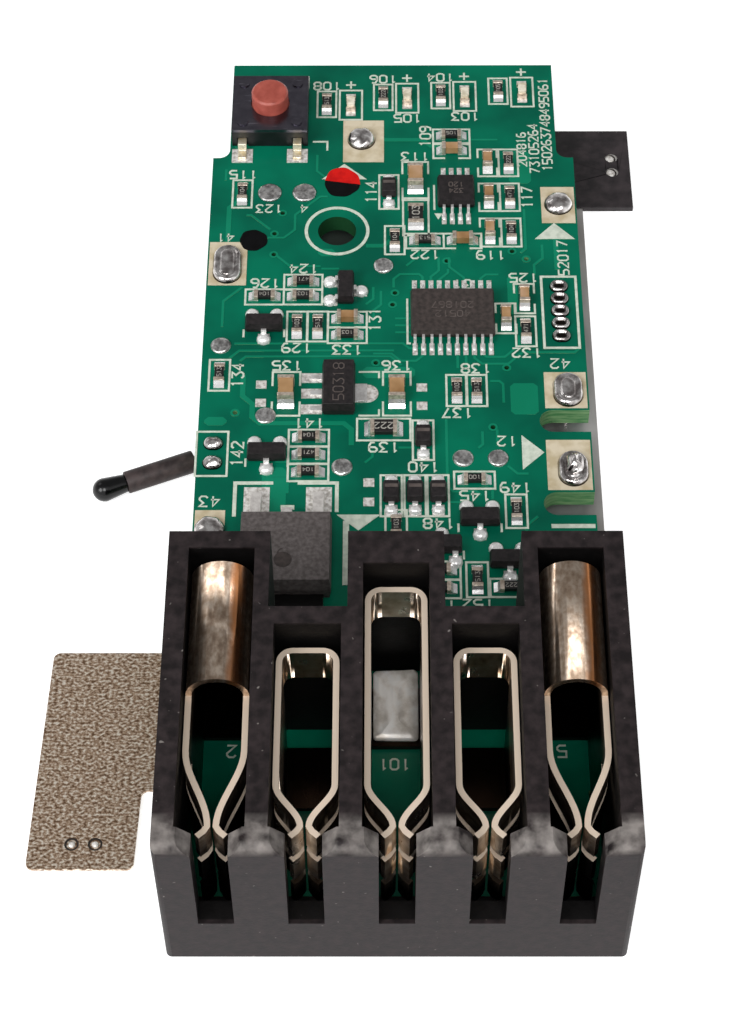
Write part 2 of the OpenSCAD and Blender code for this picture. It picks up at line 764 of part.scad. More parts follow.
module transistor(i) {
    shoulder = sot_h * SHOULDER;
    color("#3a3536")
        at_transistor(i) difference() {
            translate([0, 0, body_gap]) moulded_body(sot_l, sot_w, sot_h - body_gap);
            mirror([0, 1, 0]) lead_pockets(1, sot_pitch, sot_w, shoulder, sot_lead);
            lead_pockets(2, 2 * sot_pitch, sot_w, shoulder, sot_lead);
        }
}

module transistor_leads() {
    shoulder = sot_h * SHOULDER;
    foot = sot_out * FOOT;
    color("#c8ccd0")
        for (i = [0:len(TRANSISTORS) - 1]) at_transistor(i) {
            mirror([0, 1, 0]) lead_row(1, sot_pitch, sot_w, sot_out, shoulder, sot_lead, foot);
            lead_row(2, 2 * sot_pitch, sot_w, sot_out, shoulder, sot_lead, foot);
        }
}

module diode(i) {
    color("#3a3536")
        at_place(DIODES[i], pad_t) difference() {
            translate([0, 0, body_gap]) moulded_body(diode_w, diode_l, diode_h - body_gap);
            for (side = [0, 1]) mirror([0, side, 0])
                lead_pockets(1, sot_pitch, diode_l, diode_h * DIODE_SHOULDER, sot_lead);
        }
}

module diode_leads() {
    color("#c8ccd0")
        at_all(DIODES) translate([0, 0, pad_t]) for (side = [0, 1]) mirror([0, side, 0])
            lead_row(1, sot_pitch, diode_l, diode_out, diode_h * DIODE_SHOULDER, sot_lead,
                     diode_out * FOOT);
}

// Voltage regulator: three flat leads on one side, a wide cooling tab on the other.
module regulator() {
    color("#2c292c")
        at_place(REGULATOR_AT, pad_t + sot_lead[1])
            moulded_body(regulator_w, regulator_l, regulator_h - sot_lead[1]);
}

regulator_out = 0.9;     // reach of the leads and the cooling tab past the body
regulator_in = 0.6;      // how far they run in below the body
regulator_tab_w = 1.7;

module regulator_leads() {
    tab_in = regulator_w / 2 + regulator_in / 2;
    color("#c8ccd0")
        at_place(REGULATOR_AT, pad_t) {
            for (k = [-1:1])
                translate([-regulator_w / 2 - regulator_out,
                           k * regulator_pitch - sot_lead[0] / 2, 0])
                    cube([regulator_out + regulator_in, sot_lead[0], sot_lead[1]]);
            translate([regulator_w / 2 - tab_in, -regulator_tab_w / 2, 0])
                cube([tab_in + regulator_out, regulator_tab_w, sot_lead[1]]);
        }
}

// Power transistor: the cooling tab points at the terminals, the leads away from them.
power_lead = [0.8, 0.5];
power_tab_t = 0.5;
power_tab_side = 0.57;   // body left at each side of the cooling tab
power_tab_w = power_w - 2 * power_tab_side;
power_tab_in = power_l - 1.1;
power_tab_out = 1.1;
power_lead_out = 2.9;
power_foot = 1.2;
power_stub = 0.9;        // length of the cut middle lead
power_shoulder = 0.92;
mark_d = 1.1;            // round mark in the top
mark_y = -0.73;
mark_depth = 0.06;
power_pad_past = 0.8;    // reach of the wide pad past the cooling tab
power_pad_out = 1.5;     // from the body to the narrow pads

module power_transistor() {
    color("#333036")
        at_place(POWER_AT, pad_t) difference() {
            moulded_body(power_w, power_l, power_h);
            translate([-power_tab_w / 2, -power_l / 2 - power_tab_out, -EPS])
                cube([power_tab_w, power_tab_in + power_tab_out, power_tab_t + EPS]);
            lead_pockets(3, power_pitch, power_l, power_shoulder, power_lead);
            translate([0, mark_y, power_h - mark_depth]) cylinder(h = 1, d = mark_d);
        }
}

module power_transistor_leads() {
    color("#b9bdc1")
        at_place(POWER_AT, pad_t) {
            translate([-power_tab_w / 2, -power_l / 2 - power_tab_out, 0])
                cube([power_tab_w, power_tab_in + power_tab_out, power_tab_t]);
            lead_row(2, 2 * power_pitch, power_l, power_lead_out, power_shoulder, power_lead,
                     power_foot);
            translate([-power_lead[0] / 2, power_l / 2 - embed, power_shoulder])
                cube([power_lead[0], power_stub + embed, power_lead[1]]);
        }
}

// ---- Chip parts ----

// The ceramic block of a chip part, long side across the board.
module chip_body(l, w, h) {
    translate([-l / 2 + end_t, -w / 2 + end_t, pad_t + end_t])
        cube([l - 2 * end_t, w - 2 * end_t, h - 2 * end_t]);
}

// The metal caps that wrap a chip's two ends.
module chip_end_pair(l, w, h) {
    difference() {
        translate([-l / 2, -w / 2, pad_t]) cube([l, w, h]);
        translate([-l / 2 + end_reach, -w, -1]) cube([l - 2 * end_reach, 2 * w, h + 2]);
        chip_body(l, w, h);
    }
}

module resistors_small() {
    color("#1d1b1c") {
        at_all(RESISTORS_ACROSS) chip_body(small_l, small_w, small_h);
        at_all(RESISTORS_ALONG, 90) chip_body(small_l, small_w, small_h);
    }
}

module resistors_large() {
    color("#1d1b1c") {
        at_all(LARGE_RESISTORS_ACROSS) chip_body(large_l, large_w, large_h);
        at_all(LARGE_RESISTORS_ALONG, 90) chip_body(large_l, large_w, large_h);
    }
}

module capacitors_small() {
    color("#b98b57") {
        at_all(CAPACITORS_ACROSS) chip_body(small_l, small_w, cap_small_h);
        at_all(CAPACITORS_ALONG, 90) chip_body(small_l, small_w, cap_small_h);
    }
}

module capacitors_large() {
    color("#b98b57") at_all(LARGE_CAPACITORS_ALONG, 90) chip_body(large_l, large_w, cap_large_h);
}

module chip_ends() {
    color("#d0d0cc") {
        at_all(RESISTORS_ACROSS) chip_end_pair(small_l, small_w, small_h);
        at_all(RESISTORS_ALONG, 90) chip_end_pair(small_l, small_w, small_h);
        at_all(LARGE_RESISTORS_ACROSS) chip_end_pair(large_l, large_w, large_h);
        at_all(LARGE_RESISTORS_ALONG, 90) chip_end_pair(large_l, large_w, large_h);
        at_all(CAPACITORS_ACROSS) chip_end_pair(small_l, small_w, cap_small_h);
        at_all(CAPACITORS_ALONG, 90) chip_end_pair(small_l, small_w, cap_small_h);
        at_all(LARGE_CAPACITORS_ALONG, 90) chip_end_pair(large_l, large_w, cap_large_h);
    }
}

lamp_base_h = 0.3;
lamp_lens_h = 0.4;

// Lamp: a substrate with a clear moulded lens on it.
module lamp(i) {
    color("#efe9cf")
        at_place(LAMPS[i]) rotate(90) {
            chip_body(small_l, small_w, lamp_base_h);
            translate([-small_l / 2 + end_reach, -small_w / 2 + end_t, pad_t + lamp_base_h - end_t])
                cube([small_l - 2 * end_reach, small_w - 2 * end_t, lamp_lens_h]);
        }
}

module lamp_ends() {
    color("#cfc9b0")
        at_all(LAMPS, 90) chip_end_pair(small_l, small_w, lamp_base_h);
}

// ---- Pads and solder ----

// Two tinned pads under the ends of a chip part, long side across the board.
module chip_pads(l, w) {
    pad_l = end_reach + solder_reach;
    for (side = [0, 1]) mirror([side, 0, 0])
        translate([l / 2 - end_reach, -w / 2, 0]) cube([pad_l, w, pad_t]);
}

module pads() {
    color("#b9bdb8") {
        at_all(concat(RESISTORS_ACROSS, CAPACITORS_ACROSS)) chip_pads(small_l, small_w);
        at_all(concat(RESISTORS_ALONG, CAPACITORS_ALONG, BARE_PADS_ALONG), 90)
            chip_pads(small_l, small_w);
        at_all(LAMPS, 90) chip_pads(small_l, small_w);
        at_all(LARGE_RESISTORS_ACROSS) chip_pads(large_l, large_w);
        at_all(concat(LARGE_RESISTORS_ALONG, LARGE_CAPACITORS_ALONG), 90)
            chip_pads(large_l, large_w);
        at_all(TEST_PADS) cylinder(h = pad_t, d = test_d);
        for (i = [0:HEADER_HOLES - 1])
            at_place([header_x, header_y + i * header_pitch]) difference() {
                cylinder(h = pad_t, d = header_pad_d);
                translate([0, 0, -1]) cylinder(h = 2, d = header_hole_d);
            }
        fine_pads(CONTROLLER_AT, controller_pins, controller_w);
        fine_pads(AMPLIFIER_AT, amplifier_pins, amplifier_w);
        for (i = [0:len(TRANSISTORS) - 1])
            translate([0, 0, -pad_t]) at_transistor(i) {
                lead_pad(0, -sot_w / 2 - sot_pad[1] / 2);
                for (side = [-1, 1]) lead_pad(side * sot_pitch, sot_w / 2 + sot_pad[1] / 2);
            }
        at_all(DIODES) for (side = [-1, 1]) lead_pad(0, side * (diode_l + sot_pad[1]) / 2);
        at_place(REGULATOR_AT) {
            for (k = [-1:1])
                translate([-regulator_w / 2 - regulator_pad[0],
                           k * regulator_pitch - regulator_pad[1] / 2, 0])
                    cube([regulator_pad[0], regulator_pad[1], pad_t]);
            translate([0, -regulator_tab_w / 2, 0])
                cube([regulator_w / 2 + regulator_out, regulator_tab_w, pad_t]);
            translate([regulator_w / 2 + regulator_out, 0, 0])
                cylinder(h = pad_t, d = regulator_tab_w);
        }
        at_place(POWER_AT) {
            translate([-power_tab_w / 2, -power_l / 2 - power_tab_out - power_pad_past, 0])
                cube([power_tab_w, power_tab_in + power_tab_out + power_pad_past, pad_t]);
            for (side = [-1, 1])
                translate([side * power_pitch - power_pad[0] / 2, power_l / 2 + power_pad_out, 0])
                    cube([power_pad[0], power_pad[1], pad_t]);
        }
        at_place(SWITCH_AT) for (sx = [-1, 1]) for (sy = [0, 1])
            mirror([0, sy, 0])
                translate([(sx * leg_pitch - leg_pad_w) / 2, switch_side / 2 + leg_pad_in, 0])
                    cube([leg_pad_w, leg_out, pad_t]);
    }
}

module lead_pad(x, y) {
    translate([x - sot_pad[0] / 2, y - sot_pad[1] / 2, 0]) cube([sot_pad[0], sot_pad[1], pad_t]);
}

module fine_pads(at, pins, w) {
    at_place(at) for (side = [0, 1]) mirror([0, side, 0])
        for (i = [0:pins - 1])
            translate([(i - (pins - 1) / 2) * fine_pitch - fine_pad[0] / 2,
                       w / 2 + lead_out * (1 - FOOT), 0])
                cube([fine_pad[0], fine_pad[1], pad_t]);
}

// A wedge of solder at each end of a chip part, long side across the board.
module chip_fillets(l, w, h) {
    for (side = [0, 1]) mirror([side, 0, 0])
        translate([l / 2, w / 2, pad_t])
            rotate([90, 0, 0])
                linear_extrude(w)
                    polygon([[0, 0], [solder_reach, 0], [solder_reach * SAG, h * WET * SAG],
                             [0, h * WET]]);
}

module chip_solder() {
    color("#c8cccf") {
        at_all(RESISTORS_ACROSS) chip_fillets(small_l, small_w, small_h);
        at_all(RESISTORS_ALONG, 90) chip_fillets(small_l, small_w, small_h);
        at_all(LARGE_RESISTORS_ACROSS) chip_fillets(large_l, large_w, large_h);
        at_all(LARGE_RESISTORS_ALONG, 90) chip_fillets(large_l, large_w, large_h);
        at_all(CAPACITORS_ACROSS) chip_fillets(small_l, small_w, cap_small_h * CAP_WET);
        at_all(CAPACITORS_ALONG, 90) chip_fillets(small_l, small_w, cap_small_h * CAP_WET);
        at_all(LARGE_CAPACITORS_ALONG, 90) chip_fillets(large_l, large_w, cap_large_h * CAP_WET);
    }
}

// Hand-soldered joints on the big edge pads, with room for the strips' tongues.
module joint_solder() {
    color("#c2c4c4")
        for (k = [0:len(JOINTS) - 1])
            at_place(JOINTS[k]) difference() {
                if (JOINTS[k][2] > joint_w)
                    linear_extrude(joint_h) slot_2d(joint_w, JOINTS[k][2]);
                else
                    intersection() {
                        translate([0, 0, joint_h - joint_w]) sphere(joint_w);
                        cylinder(h = joint_h, d = joint_w);
                    }
                if (k == TAB_JOINT || len(search(k, BUS_JOINTS)) > 0)
                    cube([strip_t, tongue_w, 2 * tongue_rise], center = true);
            }
}

// ---- Strips ----

module tongue(k) {
    translate([JOINTS[k][0] - strip_t / 2, joint_y(k) - tongue_w / 2, strip_z])
        cube([strip_t, tongue_w, tongue_rise - strip_z]);
}

// Nickel tab: a flat plate beside the block, a run below the board and a soldered tongue.
module nickel_tab() {
    run_left = JOINTS[TAB_JOINT][0] - leg_strip_w / 2;
    run_rear = joint_y(TAB_JOINT) + run_past;
    plate_right = run_left + leg_strip_w;
    color("#a89c88") {
        difference() {
            translate([0, 0, strip_z])
                linear_extrude(strip_t) {
                    tab_outline(plate_right);
                    translate([run_left, tab_rear - EPS])
                        square([leg_strip_w, run_rear - tab_rear]);
                }
            for (k = [0, 1])
                dimple_cut(tab_left + tab_dimple_x + k * dimple_gap, tab_front + tab_dimple_y);
        }
        tongue(TAB_JOINT);
    }
}

// A quarter circle of points round [x, y], from the angle that is given.
function quarter(x, y, r, from) =
    [for (a = [0:15:90]) [x + r * cos(from + a), y + r * sin(from + a)]];

// The plate's outline: a narrow front part, whose edges slant, and a wide part behind it.
module tab_outline(plate_right) {
    r = tab_corner;
    narrow_right = tab_left + tab_narrow;
    step_x = narrow_right + tab_slant * tab_step / tab_len + r;
    step_arc = quarter(step_x, tab_front + tab_step - r, r, 90);
    polygon(concat(
        quarter(tab_left + tab_slant + r, tab_rear - r, r, 90),
        quarter(tab_left + r, tab_front + r, r, 180),
        quarter(narrow_right - r, tab_front + r, r, 270),
        [for (i = [len(step_arc) - 1:-1:0]) step_arc[i]],
        [[plate_right, tab_front + tab_step], [plate_right, tab_rear]]
    ));
}

module dimple_cut(x, y) {
    translate([x, y, strip_z + strip_t - dimple_depth]) cylinder(h = 1, d = dimple_d);
}

module flag_dimples() {
    for (k = [0, 1])
        dimple_cut(right_x + flag_reach - flag_dimple_x,
                   flag_front + flag_dimple_y + k * dimple_gap);
}

// Bus strip: runs below the board's right edge and ends in the insulated flag.
module bus_strip() {
    flag_left = right_x - flag_inner;
    color("#a89c88") {
        difference() {
            union() {
                translate([bus_left, bus_front, strip_z])
                    cube([bus_w, flag_front + flag_w / 2 - bus_front, strip_t]);
                translate([flag_left + sleeve_t, flag_front + sleeve_t, strip_z])
                    cube([flag_inner + flag_reach - 2 * sleeve_t, flag_w - 2 * sleeve_t, strip_t]);
            }
            flag_dimples();
        }
        for (k = BUS_JOINTS) tongue(k);
    }
}

// The flag's black insulation, open where the strip enters it and over the weld dimples.
module flag_sleeve() {
    flag_left = right_x - flag_inner;
    color("#1c1b1f")
        difference() {
            translate([flag_left, flag_front, strip_z - sleeve_t])
                cube([flag_inner + flag_reach, flag_w, strip_t + 2 * sleeve_t]);
            translate([flag_left + sleeve_t, flag_front + sleeve_t, strip_z])
                cube([flag_inner + flag_reach - 2 * sleeve_t, flag_w - 2 * sleeve_t, strip_t]);
            translate([bus_left, flag_front - EPS, strip_z])
                cube([bus_w, sleeve_t + 2 * EPS, strip_t]);
            flag_dimples();
        }
}

// ---- Thermistor ----

module at_sensor() {
    translate([sensor_x, sensor_y, sensor_z]) rotate(180 + sensor_angle) rotate([0, 90, 0])
        children();
}

module thermistor_sleeve() {
    color("#453c3c")
        at_sensor() difference() {
            cylinder(h = sleeve_len, d = sleeve_d);
            for (side = [-1, 1])
                translate([0, side * lead_apart, -EPS]) cylinder(h = sleeve_len + 1, d = lead_d);
        }
}

module thermistor_bead() {
    color("#1a1a1c")
        at_sensor() translate([0, 0, sleeve_len]) {
            cylinder(h = bead_len - bead_d / 2, d1 = sleeve_d * NECK, d2 = bead_d);
            translate([0, 0, bead_len - bead_d / 2])
                intersection() {
                    sphere(d = bead_d);
                    cylinder(h = bead_d, d = bead_d);
                }
        }
}

// Each lead leaves the sleeve, bends below the board and stands up through its hole.
module thermistor_leads() {
    turn = 180 + sensor_angle;
    color("#c8ccd0") for (side = [-1, 1]) {
        hole = [LEADS_AT[0], tower_rear + LEADS_AT[1] - side * lead_pitch / 2, sensor_z];
        start = [sensor_x, sensor_y, sensor_z] + side * lead_apart * [-sin(turn), cos(turn), 0];
        run = hole - start;
        at_sensor() translate([0, side * lead_apart, 0]) cylinder(h = sleeve_len, d = lead_d);
        translate(start)
            rotate([0, 90, atan2(run[1], run[0])]) cylinder(h = norm(run), d = lead_d * RUN);
        translate(hole - [0, 0, elbow_drop])
            cylinder(h = lead_rise - sensor_z + elbow_drop, d = lead_d);
    }
}

board();
terminal_block();
power_contact(0);  // power_contact_1
signal_contact(1);  // signal_contact_2
signal_contact(2);  // signal_contact_3
signal_contact(3);  // signal_contact_4
power_contact(4);  // power_contact_5
tail_solder();
switch_base();
switch_cover();
switch_plunger();
switch_legs();
controller();
controller_leads();
amplifier();
amplifier_leads();
regulator();
regulator_leads();
power_transistor();
power_transistor_leads();
transistor(0);  // transistor_1
transistor(1);  // transistor_2
transistor(2);  // transistor_3
transistor(3);  // transistor_4
transistor(4);  // transistor_5
transistor(5);  // transistor_6
transistor_leads();
diode(0);  // diode_1
diode(1);  // diode_2
diode(2);  // diode_3
diode(3);  // diode_4
diode(4);  // diode_5
diode_leads();
resistors_small();
resistors_large();
capacitors_small();
capacitors_large();
chip_ends();
lamp(0);  // lamp_1
lamp(1);  // lamp_2
lamp(2);  // lamp_3
lamp(3);  // lamp_4
lamp_ends();
pads();
chip_solder();
joint_solder();
nickel_tab();
bus_strip();
flag_sleeve();
thermistor_bead();
thermistor_sleeve();
thermistor_leads();
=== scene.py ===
# %% [markdown]
# Battery management board: the looks.
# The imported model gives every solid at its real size. This script dresses it: it gives each
# piece the finish that its real material has, draws the copper tracks and the printed legend,
# and adds the small soft forms, such as beads of solder, that are easier to model as meshes.

# %% Load the frame
import math
import random

import bmesh
import bpy
from mathutils import Matrix, Vector, noise


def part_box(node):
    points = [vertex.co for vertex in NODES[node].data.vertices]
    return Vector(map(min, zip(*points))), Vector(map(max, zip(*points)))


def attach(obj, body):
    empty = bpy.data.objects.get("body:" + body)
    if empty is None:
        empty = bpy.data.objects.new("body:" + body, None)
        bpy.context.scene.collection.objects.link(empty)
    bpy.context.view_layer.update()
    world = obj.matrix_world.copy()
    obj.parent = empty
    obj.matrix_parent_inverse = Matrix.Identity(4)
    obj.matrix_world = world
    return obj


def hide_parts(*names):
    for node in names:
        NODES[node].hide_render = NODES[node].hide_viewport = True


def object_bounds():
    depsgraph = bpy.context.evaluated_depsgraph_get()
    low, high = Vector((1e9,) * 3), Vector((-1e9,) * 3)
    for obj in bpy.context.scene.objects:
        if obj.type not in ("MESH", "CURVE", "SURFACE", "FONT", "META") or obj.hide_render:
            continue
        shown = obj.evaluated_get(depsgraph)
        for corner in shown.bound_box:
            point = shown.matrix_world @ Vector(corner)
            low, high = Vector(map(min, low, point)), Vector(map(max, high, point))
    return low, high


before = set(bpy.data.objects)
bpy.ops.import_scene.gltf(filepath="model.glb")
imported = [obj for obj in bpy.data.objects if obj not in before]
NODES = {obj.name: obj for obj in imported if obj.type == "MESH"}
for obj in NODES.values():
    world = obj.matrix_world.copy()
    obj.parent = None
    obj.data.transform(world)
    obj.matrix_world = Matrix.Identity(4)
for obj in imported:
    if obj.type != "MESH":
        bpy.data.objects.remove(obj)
cad_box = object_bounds()
MM = 0.001


def box_mm(name):
    """A node's lowest and highest corner, in mm."""
    return tuple(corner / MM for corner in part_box(name))


def middle(box):
    return (box[0] + box[1]) / 2


def corners(x0, y0, x1, y1):
    """The corners of a rectangle, anticlockwise."""
    return [(x0, y0), (x1, y0), (x1, y1), (x0, y1)]


def around(x, y, half_x, half_y):
    """The rectangle around a place, as (x0, y0, x1, y1)."""
    return x - half_x, y - half_y, x + half_x, y + half_y


print("CAD box in mm:", [[round(c / MM, 2) for c in corner] for corner in cad_box])

# %% [markdown]
# Colours are written the way a paint chart writes them, as sRGB hex. Blender's shaders work in
# linear light, so one function converts them.

# %% Colour
def paint(hex_code, alpha=1.0):
    """An sRGB hex colour as linear RGBA."""
    def linear(v):
        return v / 12.92 if v <= 0.04045 else ((v + 0.055) / 1.055) ** 2.4
    channels = [int(hex_code[i:i + 2], 16) / 255 for i in (1, 3, 5)]
    return (*[linear(v) for v in channels], alpha)


print("mid grey is", round(paint("#808080")[0], 3), "in linear light")

# %% [markdown]
# A material is a small network of nodes. One function adds a node with its settings and feeds
# its sockets, so that each material below reads as a short list of steps.

# %% Nodes and materials
def feed(tree, node, sources):
    """Fills sockets. A source is a node (its first working output), a socket, a hex colour or
    a plain value."""
    for name, source in sources.items():
        if isinstance(source, bpy.types.Node):
            source = next(socket for socket in source.outputs if socket.enabled)
        if isinstance(source, bpy.types.NodeSocket):
            tree.links.new(source, node.inputs[name])
        else:
            value = paint(source) if isinstance(source, str) else source
            node.inputs[name].default_value = value


def add(tree, kind, sources=None, stops=(), **settings):
    """Adds a shader node. Settings name its properties or sockets; stops fill its colour ramp."""
    node = tree.nodes.new("ShaderNode" + kind)
    for name, value in settings.items():
        if hasattr(node, name):
            setattr(node, name, value)
        else:
            node.inputs[name.replace("_", " ")].default_value = value
    for i, (position, hex_code) in enumerate(stops):
        elements = node.color_ramp.elements
        element = elements[i] if i < len(elements) else elements.new(position)
        element.position, element.color = position, paint(hex_code)
    feed(tree, node, sources or {})
    return node


def new_material(name, hex_code, **shader):
    """A material's tree and shader, with the coordinates of the object in metres."""
    material = bpy.data.materials.new(name)
    material.use_nodes = True
    tree = material.node_tree
    principled = tree.nodes["Principled BSDF"]
    principled.inputs["Base Color"].default_value = paint(hex_code)
    for socket, value in shader.items():
        principled.inputs[socket.replace("_", " ")].default_value = value
    return material, tree, principled, add(tree, "TexCoord").outputs["Object"]


def reopen(material):
    """A finished material's tree, shader and tone, the coordinates, and their x, y and z."""
    tree = material.node_tree
    shader = tree.nodes["Principled BSDF"]
    coords = add(tree, "TexCoord").outputs["Object"]
    place = add(tree, "SeparateXYZ", {"Vector": coords}).outputs
    return tree, shader, shader.inputs["Base Color"].links[0].from_socket, coords, place


def per(size_mm):
    """The scale of a noise texture whose blotches are about size_mm across."""
    return 1 / (size_mm * MM)


print("helpers ready; 2 mm blotches need a scale of", round(per(2)))

# %% [markdown]
# The camera looks down at 52 degrees from in front of the terminal block. A long lens keeps the
# board nearly parallel-sided, and a small downward shift keeps its far end from shrinking.

# %% Camera
CAMERA_AT = Vector((-0.87, -70.30, 148.49)) * MM
PITCH, YAW, ROLL = (math.radians(a) for a in (-51.99, 0.42, -0.39))


def put(name, data):
    """A new object in the scene."""
    ob = bpy.data.objects.new(name, data)
    bpy.context.scene.collection.objects.link(ob)
    return ob


lens = bpy.data.cameras.new("camera")
lens.lens, lens.sensor_width, lens.shift_y = 87.3, 36, -0.119
lens.clip_start, lens.clip_end = 0.01, 10
camera = put("camera", lens)
turn = Matrix.Rotation(YAW, 4, "Z") @ Matrix.Rotation(math.pi / 2 + PITCH, 4, "X")
camera.matrix_world = Matrix.Translation(CAMERA_AT) @ turn @ Matrix.Rotation(ROLL, 4, "Z")
bpy.context.scene.camera = camera
print("camera at", [round(c, 4) for c in camera.location])

# %% [markdown]
# The object lies on white paper. The floor is lifted for rays that come straight from the
# camera, or off metal and through clear plastic, which keeps the paper white while the object
# gets no more light. Below the board the paper's colour is painted dark, a painted shadow, so
# that holes look into shade.

# %% Floor
bpy.context.scene.view_settings.view_transform = "Standard"
FLOOR_HALF, FLOOR_LIFT = 2.0, 0.65
DARK_WITHIN, LIGHT_FROM = 5 * MM, 3 * MM       # how far inside the board's outline
floor_z = cad_box[0].z
floor_mesh = bpy.data.meshes.new("floor")
floor_mesh.from_pydata([(x, y, floor_z) for x, y in corners(-FLOOR_HALF, -FLOOR_HALF, FLOOR_HALF,
                                                            FLOOR_HALF)], [], [(0, 1, 2, 3)])
floor = put("floor", floor_mesh)

paper, tree, shader, coords = new_material("matt_paper", "#e8e8e8", Roughness=0.9,
                                           Emission_Color=paint("#ffffff"))
low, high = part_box("board")
half = (high - low) / 2
rays = add(tree, "LightPath").outputs
seen = add(tree, "Math", {0: rays["Is Camera Ray"], 1: rays["Is Glossy Ray"]},
           operation="MAXIMUM")
seen = add(tree, "Math", {0: seen, 1: rays["Is Transmission Ray"]}, operation="MAXIMUM")
apart = add(tree, "VectorMath", {0: coords, 1: middle((low, high))}, operation="SUBTRACT")
apart = add(tree, "VectorMath", {0: apart}, operation="ABSOLUTE")
apart = add(tree, "SeparateXYZ", {"Vector": apart}).outputs
beside, beyond = (add(tree, "MapRange", {"Value": apart[axis]}, From_Min=reach - DARK_WITHIN,
                      From_Max=reach - LIGHT_FROM)
                  for axis, reach in (("X", half.x), ("Y", half.y)))
outside = add(tree, "Math", {0: beside, 1: beyond}, operation="MAXIMUM")
lift = add(tree, "Math", {0: seen, 1: outside}, operation="MULTIPLY")
lift = add(tree, "MapRange", {"Value": lift}, To_Max=FLOOR_LIFT)
# Painted shadow: inside the board's outline the paper's colour goes to a dark grey-green.
sheet = add(tree, "Mix", {"Factor": outside, "A": "#39423c", "B": "#e8e8e8"}, data_type="RGBA")
feed(tree, shader, {"Emission Strength": lift, "Base Color": sheet})
floor_mesh.materials.append(paper)
print("floor at", round(floor_z / MM, 2), "mm")

# %% [markdown]
# The key lamp is a soft box in front, high on the left. Slopes that face the viewer mirror it,
# so beads of solder and sheared edges glint, and level faces don't, so the green keeps its
# depth. A second soft box stands close to the viewer, so that light reaches down into the slots
# as far as one can see. A weak card lamp up behind draws one soft line along curved metal.

# %% Lamps
LAMPS_LOOK_AT = Vector((0, 0.04, 0))
for name, at, side, power in (("key_lamp", (-0.36, -0.3, 0.42), 0.3, 2.1),
                              ("front_lamp", (0.03, -0.32, 0.5), 0.25, 1.5),
                              ("card_lamp", (-0.28, 0.24, 0.3), 0.16, 0.09)):
    data = bpy.data.lights.new(name, "AREA")
    data.shape, data.size, data.energy = "SQUARE", side, power
    ob = put(name, data)
    ob.location = at
    ob.rotation_euler = (LAMPS_LOOK_AT - Vector(at)).to_track_quat("-Z", "Y").to_euler()
print("lamps: 3")

# %% [markdown]
# The world fills the shadows. The camera and clear plastic see it as plain white. Polished
# metal sees nearly that white near the horizon and on the viewer's side, and a dimmer ceiling
# at the back, as it would in a studio. Without that, mirrors that face up would look like paint.

# %% World
world = bpy.data.worlds.new("studio")
bpy.context.scene.world = world
world.use_nodes = True
tree = world.node_tree
SHADOW_FILL, FRONT, HORIZON, CEILING = 0.3, 1.0, 0.85, 0.28
rays = add(tree, "LightPath").outputs
direction = add(tree, "SeparateXYZ", {"Vector": add(tree, "TexCoord").outputs["Generated"]})
room = add(tree, "MapRange", {"Value": direction.outputs["Z"]}, From_Min=0.1, From_Max=0.6,
           To_Min=HORIZON, To_Max=CEILING)
toward_viewer = add(tree, "MapRange", {"Value": direction.outputs["Y"]}, From_Min=-0.1,
                    From_Max=-0.45)
room = add(tree, "Mix", {"Factor": toward_viewer, "A": room, "B": FRONT})
level = add(tree, "Mix", {"Factor": rays["Is Glossy Ray"], "A": SHADOW_FILL, "B": room})
clear = add(tree, "Math", {0: rays["Is Camera Ray"], 1: rays["Is Transmission Ray"]},
            operation="MAXIMUM")
level = add(tree, "Mix", {"Factor": clear, "A": level, "B": 1.0})
feed(tree, tree.nodes["Background"], {"Strength": level, "Color": "#ffffff"})
print("world: fill", SHADOW_FILL, "front", FRONT, "horizon", HORIZON, "ceiling", CEILING)

# %% [markdown]
# The board is glass-epoxy laminate under a green liquid solder mask: a thin lacquer. Its green
# deepens where there is bare laminate below and lightens over copper. The sawn edges show the
# laminate itself, a paler green. One material does both, by whether a face is level.

# %% Solder mask on laminate
EDGE_BAND_FROM = 10 * MM       # sawn edges and notches lie further out than this


def solder_mask(name, deep, light):
    """Green lacquer on level faces, sawn laminate on the upright ones."""
    material, tree, shader, coords = new_material(name, light, Roughness=0.3,
                                                  Specular_IOR_Level=0.12)
    clouds = add(tree, "TexNoise", {"Vector": coords}, Scale=per(7), Detail=3.0)
    green = add(tree, "ValToRGB", {"Fac": clouds}, [(0.36, deep), (0.64, light)])
    normal = add(tree, "SeparateXYZ", {"Vector": add(tree, "NewGeometry").outputs["True Normal"]})
    upward = add(tree, "Math", {0: normal.outputs["Z"]}, operation="ABSOLUTE")
    level = add(tree, "Math", {0: upward, 1: 0.5}, operation="GREATER_THAN")
    # The cut glass cloth lies in thin layers, four to a millimetre.
    layers = add(tree, "Mapping", {"Vector": coords}, Scale=(1, 1, 6))
    fibres = add(tree, "TexNoise", {"Vector": layers}, Scale=per(1.5), Detail=4.0)
    sawn = add(tree, "ValToRGB", {"Fac": fibres}, [(0.3, "#3f7a4a"), (0.7, "#84a878")])
    # Upright faces away from the side edges, the drilled walls inside the board, are painted dark
    # green: painted shade in the holes.
    place = add(tree, "SeparateXYZ", {"Vector": coords})
    from_axis = add(tree, "Math", {0: place.outputs["X"]}, operation="ABSOLUTE")
    near_edge = add(tree, "Math", {0: from_axis, 1: EDGE_BAND_FROM}, operation="GREATER_THAN")
    walls = add(tree, "Mix", {"Factor": near_edge, "A": "#1f4a2c", "B": sawn}, data_type="RGBA")
    colour = add(tree, "Mix", {"Factor": level, "A": walls, "B": green}, data_type="RGBA")
    # The glass cloth below shows as a faint weave with about two threads a millimetre.
    weave = add(tree, "TexNoise", {"Vector": coords}, Scale=per(0.5), Detail=2.0)
    dents = add(tree, "Bump", {"Height": weave}, Strength=0.3, Distance=0.01 * MM)
    feed(tree, shader, {"Base Color": colour, "Normal": dents})
    return material


